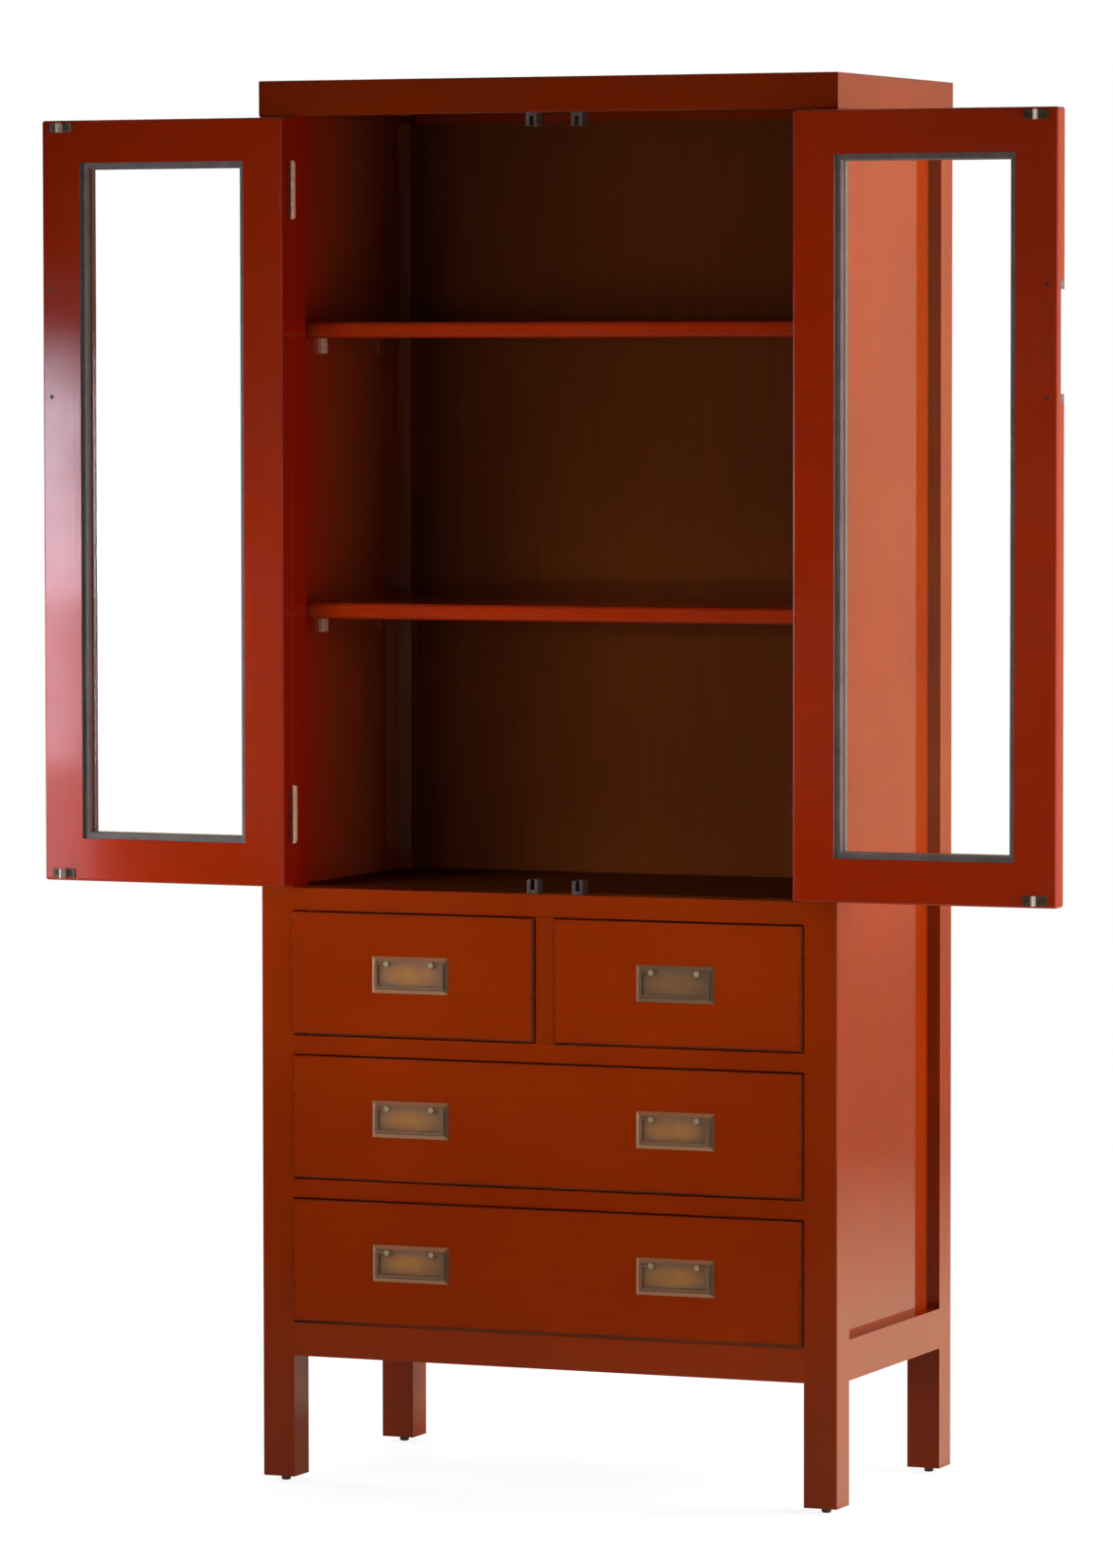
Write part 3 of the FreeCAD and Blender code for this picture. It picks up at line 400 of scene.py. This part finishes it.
# The rear pegs take the wall's painted light colour, painted shade for the shadow they sit in.
far_in = sum_up(tree, depth, "GREATER_THAN", REAR_PEGS)
colour = blended(tree, stretch(tree, tarnish, PATCHY_SPAN), BRASS_BRIGHT, BRASS_DULL)
colour = blended(tree, on_door, colour, LEAF_RED)
feed(
    tree,
    shader,
    Base_Color=blended(tree, far_in, colour, PAINTED_LIGHT_DEEP_IN),
    Metallic=BRASS_METAL,
    Roughness=stretch(tree, tarnish, EVEN_SPAN, BRASS_ROUGH),
    Normal=relief(tree, scratches, strength=0.15, depth=0.0003),
)
dress(brass_finish, "shelf_pegs", "hinge_leaves_fixed", "hinge_pins")
dress(brass_finish, "left_door_hinge_leaves", "right_door_hinge_leaves")

# Catches, strikes, screws and finger pulls: plated steel, bent or drawn and then brushed. The plating has
# gone grey and cloudy, strikes and screws are browned, and the strikes' tongues carry a painted highlight.
STEEL_PALE = (0.20, 0.175, 0.16, 1.0)
STEEL_GREY = (0.07, 0.06, 0.055, 1.0)
CATCH_PALE = (0.115, 0.085, 0.076, 1.0)
CATCH_GREY = (0.05, 0.038, 0.034, 1.0)
STRIKE_PALE = (0.075, 0.05, 0.03, 1.0)
STRIKE_GREY = (0.04, 0.03, 0.018, 1.0)
SCREW_PALE = (0.05, 0.03, 0.012, 1.0)
SCREW_BROWN = (0.025, 0.016, 0.006, 1.0)
# A painted highlight on the strikes' tongues.
TONGUE_HIGHLIGHT = (0.46, 0.37, 0.34, 1.0)
STEEL_METAL = 0.35
STEEL_ROUGH = (0.3, 0.46)
CLOUDING_PER_METRE = 150
BRUSHING_PER_METRE = 2600
strike_low, strike_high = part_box("right_door_strikes")
TONGUE_X = (strike_low[0] + strike_high[0]) / 2
TONGUE_HALF = 0.0026


def plated_steel(name, pale, grey, tongue_highlight=None):
    """Brushed plating gone cloudy; a strike's tongue can carry a painted highlight of its own."""
    finish, tree, shader = new_finish(name)
    place, drawn_out = along_grain(tree, ALONG_Z)
    cloudy = noise(tree, place, CLOUDING_PER_METRE, detail=4, rough=0.6)
    brushed = noise(tree, drawn_out, BRUSHING_PER_METRE, detail=3, rough=0.6)
    colour = blended(tree, stretch(tree, cloudy, PATCHY_SPAN), pale, grey)
    if tongue_highlight:
        across = sum_up(tree, along_axes(tree, place)["X"], "ABSOLUTE")
        off_middle = sum_up(tree, sum_up(tree, across, "SUBTRACT", TONGUE_X), "ABSOLUTE")
        on_tongue = sum_up(tree, off_middle, "LESS_THAN", TONGUE_HALF)
        colour = blended(tree, on_tongue, colour, tongue_highlight)
    feed(
        tree,
        shader,
        Base_Color=colour,
        Metallic=STEEL_METAL,
        Roughness=stretch(tree, brushed, EVEN_SPAN, STEEL_ROUGH),
        Normal=relief(tree, brushed, strength=0.1, depth=0.0002),
    )
    return finish


steel_finish = plated_steel("plated_steel", STEEL_PALE, STEEL_GREY)
catch_finish = plated_steel("catch_steel", CATCH_PALE, CATCH_GREY)
strike_finish = plated_steel("strike_steel", STRIKE_PALE, STRIKE_GREY, TONGUE_HIGHLIGHT)
screw_finish = plated_steel("browned_screws", SCREW_PALE, SCREW_BROWN)
dress(catch_finish, "door_catches")
dress(screw_finish, "carcass_screws")
for side in ("left", "right"):
    dress(strike_finish, side + "_door_strikes")
    dress(screw_finish, side + "_door_screws")
    dress(steel_finish, side + "_door_finger_pull")

# Door frames: two stiles and two rails a door, tenoned together and rebated inside for the glass. The
# lacquer is a shade redder than on the drawers, and the meeting stiles and rails carry a pale painted
# highlight along their edges. The rebate is painted dark like the beads, and the hinged edge carries the
# painted bounce light of the cupboard's inside.
DOOR_DEEP = (0.21, 0.0118, 0.0006, 1.0)
DOOR_WARM = (0.245, 0.0148, 0.0008, 1.0)
DOOR_COLOURS = (DOOR_DEEP, DOOR_WARM)
# A pale painted highlight along the edges of the door frames.
DOOR_EDGE_HIGHLIGHT = (0.25, 0.04, 0.028, 1.0)
REBATE_DARK = (0.085, 0.068, 0.062, 1.0)
door_low, door_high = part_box("right_door_rails")
DOOR_MIDDLE = (door_low + door_high) / 2
HINGE_EDGE_DEPTH = 0.0015
HINGE_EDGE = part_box("right_door_hinge_stile")[0][0] + HINGE_EDGE_DEPTH
INWARD = 0.03


def rebate_coat(tree):
    """The dark paint of the beads carried on round the inside of the frame, on faces turned to the pane."""
    spot = along_axes(tree, place_on(tree))
    facing = along_axes(tree, way_faced(tree))
    side = sum_up(tree, spot["X"], "SIGN")
    outward = sum_up(tree, spot["X"], "MULTIPLY", side)
    across = sum_up(tree, DOOR_MIDDLE.x, "SUBTRACT", outward)
    across = sum_up(tree, across, "MULTIPLY", sum_up(tree, facing["X"], "MULTIPLY", side))
    up = sum_up(tree, DOOR_MIDDLE.z, "SUBTRACT", spot["Z"])
    up = sum_up(tree, up, "MULTIPLY", facing["Z"])
    inward = sum_up(tree, across, "ADD", up)
    return sum_up(tree, inward, "GREATER_THAN", INWARD), REBATE_DARK


def hinge_edge_painted_bounce(tree):
    """Painted bounce light: the saturated red of the cupboard's inside on the edge that carries the hinges.
    """
    across = sum_up(tree, along_axes(tree, place_on(tree))["X"], "ABSOLUTE")
    return sum_up(tree, across, "LESS_THAN", HINGE_EDGE), PAINTED_BOUNCE_RED


hinged_looks = {"colours": DOOR_COLOURS, "coats_and_painted_light": [rebate_coat, hinge_edge_painted_bounce]}
edge_highlight_looks = {"colours": DOOR_COLOURS, "coats_and_painted_light": [rebate_coat], "wear_and_light_colour": DOOR_EDGE_HIGHLIGHT}
hinge_stile_lacquer = lacquer("hinge_stile_lacquer", ALONG_Z, **hinged_looks)
meeting_stile_lacquer = lacquer("meeting_stile_lacquer", ALONG_Z, **edge_highlight_looks)
door_rail_lacquer = lacquer("door_rail_lacquer", ALONG_X, **edge_highlight_looks)
for side in ("left", "right"):
    dress(hinge_stile_lacquer, side + "_door_hinge_stile")
    dress(meeting_stile_lacquer, side + "_door_meeting_stile")
    dress(door_rail_lacquer, side + "_door_rails")

# Glazing beads: thin mitred strips painted dark grey, pinned into the rebate over the glass. The paint
# is patchy, and rubbed paler along the eased edges.
BEAD_DARK = (0.055, 0.042, 0.04, 1.0)
BEAD_PALE = (0.13, 0.105, 0.10, 1.0)
BEAD_PATCH_SHARE = 0.6
BEAD_EDGE_SHARE = 0.4
BEAD_ROUGH = (0.3, 0.5)
PATCHES_PER_METRE = 40
bead_finish, tree, shader = new_finish("bead_paint")
patches = noise(tree, place_on(tree), PATCHES_PER_METRE, detail=5, rough=0.65)
patchy = stretch(tree, patches, SPARSE_SPAN, (0, BEAD_PATCH_SHARE))
share = sum_up(tree, patchy, "ADD", sum_up(tree, eased_edges(tree), "MULTIPLY", BEAD_EDGE_SHARE))
feed(
    tree,
    shader,
    Base_Color=blended(tree, share, BEAD_DARK, BEAD_PALE),
    Roughness=stretch(tree, patches, EVEN_SPAN, BEAD_ROUGH),
    Normal=relief(tree, patches, strength=0.15, depth=0.0004),
)
dress(bead_finish, "left_door_beads", "right_door_beads")

# Glass: one clear float pane a door, held by the beads. It lets light straight through, mirrors a
# little more towards the edges of sight, and has a faint film of dust.
PANE_CLEAR = (0.995, 1.0, 0.998, 1.0)
PANE_INDEX = 1.45
PANE_ROUGH = 0.02
DUST_THIN = (0.009, 0.006, 0.003, 1.0)
DUST_THICK = (0.017, 0.011, 0.005, 1.0)
DUST_SPAN = (0.3, 0.75)
DUST_PATCHES_PER_METRE = 22
pane_finish, tree = empty_finish("clear_pane")
dusty = noise(tree, place_on(tree), DUST_PATCHES_PER_METRE, detail=5, rough=0.65)
dust = blended(tree, stretch(tree, dusty, DUST_SPAN), DUST_THIN, DUST_THICK)
edge_on = put(tree, "ShaderNodeFresnel", {"IOR": PANE_INDEX}).outputs["Fac"]
clear = put(tree, "ShaderNodeBsdfTransparent", {"Color": PANE_CLEAR})
mirror = put(tree, "ShaderNodeBsdfGlossy", {"Color": edge_on, "Roughness": PANE_ROUGH})
film = put(tree, "ShaderNodeBsdfDiffuse", {"Color": dust})
pane = put(tree, "ShaderNodeAddShader", {0: clear.outputs["BSDF"], 1: mirror.outputs["BSDF"]})
pane = put(tree, "ShaderNodeAddShader", {0: pane.outputs["Shader"], 1: film.outputs["BSDF"]})
put(tree, "ShaderNodeOutputMaterial", {"Surface": pane.outputs["Shader"]})
dress(pane_finish, "left_door_glass", "right_door_glass")

# Drawer fronts: solid boards standing a little proud of the rails, with their edges rounded over. Their
# right and lower edges carry painted shade in a dark brown, and the other eased edges are lightly worn to
# the same brown, which draws a line round each front.
DRAWERS = ("upper_left_drawer", "upper_right_drawer", "middle_drawer", "lower_drawer")
# Painted shade on the right and lower edges of the fronts, worn dark brown on the other eased edges.
FRONT_EDGE_SHADE_AND_WEAR = (0.075, 0.0125, 0.002, 1.0)
FRONT_EDGE_SHADE_AND_WEAR_SHARE = 0.85
FRONT_SHINE = 0.12
LESS_RUBBED = 0.3
TURNED_SPAN = (0.02, 0.2)


def shaded_right_lower_and_worn_edges(tree):
    """One on the right and lower edges of a drawer front, where shade is painted, and less on the other
    eased edges, which are worn.
    """
    facing = along_axes(tree, way_faced(tree))
    downward = sum_up(tree, facing["Z"], "MULTIPLY", -1)
    turned = stretch(tree, sum_up(tree, facing["X"], "MAXIMUM", downward), TURNED_SPAN)
    return sum_up(tree, turned, "MAXIMUM", sum_up(tree, eased_edges(tree), "MULTIPLY", LESS_RUBBED))


front_looks = {"wear_and_light_share": FRONT_EDGE_SHADE_AND_WEAR_SHARE, "wear_and_light_colour": FRONT_EDGE_SHADE_AND_WEAR, "edges": shaded_right_lower_and_worn_edges, "shine": FRONT_SHINE}
front_lacquer = lacquer("front_lacquer", ALONG_X, **front_looks)
for drawer in DRAWERS:
    dress(front_lacquer, drawer + "_front")

# Drawer boxes: sides, back and bottom of bare wood, housed into each other and into the front.
# They are only seen when a drawer is pulled out.
for drawer in DRAWERS:
    dress(deep_wood, drawer + "_box")

# Pulls: a bevelled backplate, two eyelet posts and a bail of flat bar, all of cast brass browned with acid.
# Fingers have rubbed the middle of each plate yellow, and the eyelets are paler at their fronts. The bevels
# carry painted light: a pale highlight on the left and lower ones, an orange highlight on the upper ones and
# shade on the right ones. The upper right pull is painted darker as shade.
PATINA_BROWN = (0.2, 0.095, 0.045, 1.0)
PATINA_GREY = (0.165, 0.105, 0.062, 1.0)
# Painted shade on the brass: the right bevels and the upper right pull.
BRASS_SHADE = (0.085, 0.05, 0.026, 1.0)
PATINA_METAL = 0.45
PATINA_ROUGH = (0.34, 0.5)
BLOTCHES_PER_METRE = 55
PITS_PER_METRE = 620
RUBBED_GOLD = (0.42, 0.175, 0.034, 1.0)
# Painted highlights on the left and lower bevels, and on the upper bevels.
BEVEL_HIGHLIGHT = (0.5, 0.26, 0.135, 1.0)
BEVEL_TOP_HIGHLIGHT = (0.34, 0.12, 0.04, 1.0)
RUBBED_WIDTH = 0.044
RUBBED_HEIGHT = 0.016
RUBBED_FADE = (0.1, 1.2)
RUBBED_SPAN = (0.25, 0.6)
RUBBED_SHARE = (0.25, 0.9)
BEVEL_SHARE = (0, 0.7)
BEVEL_SLOPE = (0.15, 0.3)
CHAMFER_SLOPE = (0.4, 0.5)
# How far the upper right pull is painted darker as shade.
UPPER_RIGHT_SHADE = 0.55
EYE_PALE = (0.32, 0.25, 0.16, 1.0)
EYE_FRONT = 0.0012
mount_low, mount_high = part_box("lower_drawer_pull_mounts")
left_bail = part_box("lower_drawer_bail_left")
right_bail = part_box("lower_drawer_bail_right")
upper_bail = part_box("middle_drawer_bail_left")
PULL_LEFT = (left_bail[0][0] + left_bail[1][0]) / 2
PULL_RIGHT = (right_bail[0][0] + right_bail[1][0]) / 2
PULL_PITCH = upper_bail[0][2] - left_bail[0][2]
PULL_HEIGHT = (mount_low[2] + mount_high[2]) / 2
TOP_ROW = PULL_HEIGHT + 1.5 * PULL_PITCH


def plate_middle(tree, spot):
    """One at the middle of a pull's plate and nought at its rim, the pulls standing in two even columns."""
    halfway = (PULL_LEFT + PULL_RIGHT) / 2
    column = (PULL_RIGHT - PULL_LEFT) / 2
    across = sum_up(tree, spot["X"], "SUBTRACT", halfway)
    across = sum_up(tree, sum_up(tree, across, "ABSOLUTE"), "SUBTRACT", column)
    rise = sum_up(tree, spot["Z"], "SUBTRACT", PULL_HEIGHT - PULL_PITCH / 2)
    rise = sum_up(tree, sum_up(tree, rise, "FLOORED_MODULO", PULL_PITCH), "SUBTRACT", PULL_PITCH / 2)
    across = sum_up(tree, sum_up(tree, across, "DIVIDE", RUBBED_WIDTH), "POWER", 2)
    rise = sum_up(tree, sum_up(tree, rise, "DIVIDE", RUBBED_HEIGHT), "POWER", 2)
    return stretch(tree, sum_up(tree, across, "ADD", rise), RUBBED_FADE, (1, 0))


def bevel(tree, slope):
    """The share of a plate's bevel that leans the way its normal is read, without the bails' chamfers."""
    sloped = stretch(tree, slope, BEVEL_SLOPE, BEVEL_SHARE)
    return sum_up(tree, sloped, "SUBTRACT", stretch(tree, slope, CHAMFER_SLOPE, BEVEL_SHARE))


patina_finish, tree, shader = new_finish("browned_brass")
place = place_on(tree)
spot = along_axes(tree, place)
facing = along_axes(tree, way_faced(tree))
blotches = noise(tree, place, BLOTCHES_PER_METRE, detail=5, rough=0.65)
pits = noise(tree, place, PITS_PER_METRE, detail=4, rough=0.6)
colour = blended(tree, stretch(tree, blotches, PATCHY_SPAN), PATINA_BROWN, PATINA_GREY)
blotchy = stretch(tree, blotches, RUBBED_SPAN, RUBBED_SHARE)
marked_share = sum_up(tree, plate_middle(tree, spot), "MULTIPLY", blotchy)
colour = blended(tree, marked_share, colour, RUBBED_GOLD)
# Painted light on the bevels: highlights above, left and below, shade at the right.
colour = blended(tree, bevel(tree, facing["Z"]), colour, BEVEL_TOP_HIGHLIGHT)
colour = blended(tree, bevel(tree, facing["X"]), colour, BRASS_SHADE)
left_or_low = sum_up(tree, sum_up(tree, facing["X"], "MINIMUM", facing["Z"]), "MULTIPLY", -1)
colour = blended(tree, bevel(tree, left_or_low), colour, BEVEL_HIGHLIGHT)
# Painted shade on the upper right pull.
on_right = sum_up(tree, spot["X"], "GREATER_THAN", 0)
upper_right = sum_up(tree, on_right, "MULTIPLY", sum_up(tree, spot["Z"], "GREATER_THAN", TOP_ROW))
colour = blended(tree, sum_up(tree, upper_right, "MULTIPLY", UPPER_RIGHT_SHADE), colour, BRASS_SHADE)
eyelets = sum_up(tree, spot["Y"], "LESS_THAN", mount_low[1] + EYE_FRONT)
feed(
    tree,
    shader,
    Base_Color=blended(tree, eyelets, colour, EYE_PALE),
    Metallic=PATINA_METAL,
    Roughness=stretch(tree, blotches, EVEN_SPAN, PATINA_ROUGH),
    Normal=relief(tree, pits, strength=0.3, depth=0.0004),
)
for drawer in DRAWERS:
    dress(patina_finish, drawer + "_pull_mounts")
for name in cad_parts:
    if "_bail" in name:
        dress(patina_finish, name)

# Floor: a plain white studio floor that meets a white surround. It takes only the soft shadow of the
# cabinet. In the gloss it shows warm, dim in front of the cabinet and brighter beside and behind it.
FLOOR_HALF = 40.0
FLOOR_WHITE = (0.9, 0.9, 0.9, 1.0)
FLOOR_SHADOW_SHARE = 0.2
FLOOR_SHADOW_REACH = 3.0
FLOOR_LIFT = 0.1
PURE_WHITE = (1, 1, 1, 1)
WARM_WHITE = (1.0, 0.9, 0.66, 1.0)
BESIDE_SPAN = (0.38, 0.46)
BEHIND_SPAN = (0.3, 0.6)
BEHIND_SHARE = 0.4
REAR_SPAN = (2.1, 4.6)
REAR_GLOW = (1.1, 0.3)
DISTANT_SPAN = (7, 14)
DISTANT_GLOW = 0.2
FORE_SPAN = (0.9, 3.2)
FORE_GLOW = 0.22
floor_mesh = bpy.data.meshes.new("studio_floor")
corners = [
    (-FLOOR_HALF, -FLOOR_HALF, 0),
    (FLOOR_HALF, -FLOOR_HALF, 0),
    (FLOOR_HALF, FLOOR_HALF, 0),
    (-FLOOR_HALF, FLOOR_HALF, 0),
]
floor_mesh.from_pydata(corners, [], [(0, 1, 2, 3)])
floor = bpy.data.objects.new("studio_floor", floor_mesh)
bpy.context.scene.collection.objects.link(floor)


def between(tree, share, first, second):
    """A number between two others."""
    return put(tree, "ShaderNodeMix", {0: share, 2: first, 3: second}).outputs[0]


floor_finish, tree = empty_finish("floor_white")
place = place_on(tree)
spot = along_axes(tree, place)
far_off = put(tree, "ShaderNodeVectorMath", {0: place}, operation="LENGTH").outputs["Value"]
path = put(tree, "ShaderNodeLightPath")
in_gloss = path.outputs["Is Glossy Ray"]
straight = sum_up(tree, path.outputs["Is Camera Ray"], "MAXIMUM", path.outputs["Is Transmission Ray"])
beside = stretch(tree, spot["X"], BESIDE_SPAN)
behind = stretch(tree, spot["Y"], BEHIND_SPAN, (0, BEHIND_SHARE))
beside = sum_up(tree, beside, "MAXIMUM", behind)
rear = stretch(tree, far_off, REAR_SPAN, REAR_GLOW)
rear = sum_up(tree, rear, "ADD", stretch(tree, far_off, DISTANT_SPAN, (0, DISTANT_GLOW)))
fore = stretch(tree, far_off, FORE_SPAN, (FORE_GLOW, 0))
mirrored = between(tree, beside, fore, rear)
near = stretch(tree, far_off, (FLOOR_SHADOW_REACH / 2, FLOOR_SHADOW_REACH), (1, 0))
open_white = sum_up(tree, 1.0, "ADD", sum_up(tree, near, "MULTIPLY", FLOOR_LIFT))
shown = between(tree, in_gloss, open_white, mirrored)
hue = blended(tree, in_gloss, PURE_WHITE, WARM_WHITE)
glow = put(tree, "ShaderNodeEmission", {"Color": hue, "Strength": shown})
matt = put(tree, "ShaderNodeBsdfDiffuse", {"Color": FLOOR_WHITE})
bare = sum_up(tree, 1.0, "SUBTRACT", sum_up(tree, near, "MULTIPLY", FLOOR_SHADOW_SHARE))
own_light = sum_up(tree, sum_up(tree, straight, "MULTIPLY", bare), "MAXIMUM", in_gloss)
layers = {0: own_light, 1: matt.outputs["BSDF"], 2: glow.outputs["Emission"]}
surface = put(tree, "ShaderNodeMixShader", layers)
put(tree, "ShaderNodeOutputMaterial", {"Surface": surface.outputs["Shader"]})
floor_mesh.materials.append(floor_finish)

# Studio light: a white surround that the gloss mirrors only behind the cabinet, and a graded soft box
# at the left that only the gloss shows. Main lamps stand at the left, a fill and a high bank in front,
# a weak wing and a broad white sheet at the right, and soft boxes for the left side and the back.
SURROUND_FILL = 0.12
SURROUND_MIRRORED = 0.55
SURROUND_SPAN = (-0.15, 0.25)
FRONT_DIMNESS = 0.004
world = bpy.data.worlds.new("studio_surround")
bpy.context.scene.world = world
world.use_nodes = True
tree = world.node_tree
tree.nodes.clear()
heading = put(tree, "ShaderNodeTexCoord").outputs["Generated"]
backwards = along_axes(tree, heading)["Y"]
behind = stretch(tree, backwards, SURROUND_SPAN, (FRONT_DIMNESS, SURROUND_MIRRORED))
path = put(tree, "ShaderNodeLightPath")
in_gloss = path.outputs["Is Glossy Ray"]
straight = sum_up(tree, path.outputs["Is Camera Ray"], "MAXIMUM", path.outputs["Is Transmission Ray"])
mirrored = between(tree, in_gloss, SURROUND_FILL, behind)
strength = between(tree, straight, mirrored, 1.0)
hue = blended(tree, in_gloss, PURE_WHITE, WARM_WHITE)
sky = put(tree, "ShaderNodeBackground", {"Color": hue, "Strength": strength})
put(tree, "ShaderNodeOutputWorld", {"Surface": sky.outputs["Background"]})

WIDE_OPEN = 180
COOL_WHITE = (0.82, 0.82, 1.0)
PLAIN_WHITE = (1.0, 1.0, 1.0)


def soft_box(name, place, aim, size, watts, spread=WIDE_OPEN, tint=PLAIN_WHITE, mirrored=False):
    """A rectangular lamp with one side level, pointed at a place; a mirrored one shows only in the gloss."""
    lamp = bpy.data.lights.new(name, "AREA")
    lamp.color = tint
    lamp.shape = "RECTANGLE"
    lamp.size = size[0]
    lamp.size_y = size[1]
    lamp.energy = watts
    lamp.spread = math.radians(spread)
    holder = bpy.data.objects.new(name, lamp)
    facing = (Vector(aim) - Vector(place)).to_track_quat("-Z", "Y").to_matrix().to_4x4()
    holder.matrix_world = Matrix.Translation(place) @ facing
    holder.visible_glossy = mirrored
    holder.visible_diffuse = not mirrored
    bpy.context.scene.collection.objects.link(holder)


# Each band of the left soft box as its height above the floor, its own height and its watts
LEFT_BOX_BANDS = (
    (1.561, 0.042, 0.5),
    (1.519, 0.042, 1.15),
    (1.477, 0.042, 1.85),
    (1.278, 0.356, 21.2),
    (0.95, 0.30, 10.2),
    (0.65, 0.30, 4.0),
)
LEFT_BOX_STANDS = (-2.86, -2.65)
LEFT_BOX_FACES = (-0.4, -0.2)
LEFT_BOX_WIDTH = 1.4
for height, band, watts in LEFT_BOX_BANDS:
    soft_box(
        "left_box_" + str(round(1000 * height)),
        (*LEFT_BOX_STANDS, height),
        (*LEFT_BOX_FACES, height),
        size=(LEFT_BOX_WIDTH, band),
        watts=watts,
        tint=COOL_WHITE,
        mirrored=True,
    )
soft_box("left_card", (-1.15, -0.45, 0.85), (-0.68, -0.05, 0.95), size=(0.4, 0.8), watts=2.0, spread=50)
MAIN_LAMP_HEIGHTS = (0.85, 1.55, 0.95, 1.45, 0.85, 1.55)
MAIN_LAMP_DISTANCE = 4.6
MAIN_LAMP_CENTRE = (-0.37, -0.1)
MAIN_LAMP_AIM = (-0.02, -0.1, 0.98)
FIRST_BEARING = 13
BEARING_STEP = 4
for step, height in enumerate(MAIN_LAMP_HEIGHTS):
    bearing = math.radians(FIRST_BEARING + BEARING_STEP * step)
    across = MAIN_LAMP_CENTRE[0] - MAIN_LAMP_DISTANCE * math.sin(bearing)
    back = MAIN_LAMP_CENTRE[1] - MAIN_LAMP_DISTANCE * math.cos(bearing)
    lamp_name = "main_lamp_" + str(step)
    soft_box(lamp_name, (across, back, height), MAIN_LAMP_AIM, size=(0.16, 0.16), watts=0.56, spread=34)
soft_box("high_bank", (-1.6, -3.3, 3.5), (0.0, -0.2, 0.6), size=(1.6, 0.9), watts=2.3, spread=36)
soft_box("room_fill", (-0.6, -7.2, 1.3), (0.38, 0.0, 1.36), size=(1.6, 1.2), watts=4.6, spread=30)
soft_box("right_wing", (3.0, -1.05, 1.2), (-0.35, -0.1, 1.1), size=(1.3, 1.2), watts=7.0, spread=60)
soft_box("right_sheet", (3.2, 0.75, 1.4), (0.4, 0.1, 1.1), size=(1.5, 2.0), watts=148)
soft_box("right_high", (2.4, 0.7, 2.7), (0.42, 0.0, 2.05), size=(0.5, 0.5), watts=1.1, spread=24)
soft_box("left_sheet", (-3.2, 0.75, 1.4), (-0.4, 0.1, 1.1), size=(1.5, 2.0), watts=70)
soft_box("back_box", (-1.6, 3.4, 3.0), (0.0, 0.3, 1.0), size=(1.8, 1.8), watts=90)

# Camera: a long lens to the right of the cabinet, a little above its middle and tipped slightly down,
# as the photograph was taken.
CAMERA_PLACE = (3.9336, -9.5937, 1.5493)
CAMERA_YAW = 22.636
CAMERA_PITCH = 3.2734
CAMERA_ROLL = -0.072
LENS_FOR_LONG_SIDE = 174.12
SENSOR_HEIGHT = 36.0
FARTHEST_SEEN = 200.0
camera = bpy.data.cameras.new("photograph_camera")
camera.sensor_fit = "VERTICAL"
camera.sensor_height = SENSOR_HEIGHT
camera.lens = LENS_FOR_LONG_SIDE
camera.clip_end = FARTHEST_SEEN
stand = bpy.data.objects.new("photograph_camera", camera)
turn = Matrix.Rotation(math.radians(CAMERA_YAW), 4, "Z")
tip = Matrix.Rotation(math.radians(90 - CAMERA_PITCH), 4, "X")
lean = Matrix.Rotation(math.radians(CAMERA_ROLL), 4, "Z")
stand.matrix_world = Matrix.Translation(CAMERA_PLACE) @ turn @ tip @ lean
bpy.context.scene.collection.objects.link(stand)
bpy.context.scene.camera = stand
bpy.context.scene.view_settings.view_transform = "Standard"
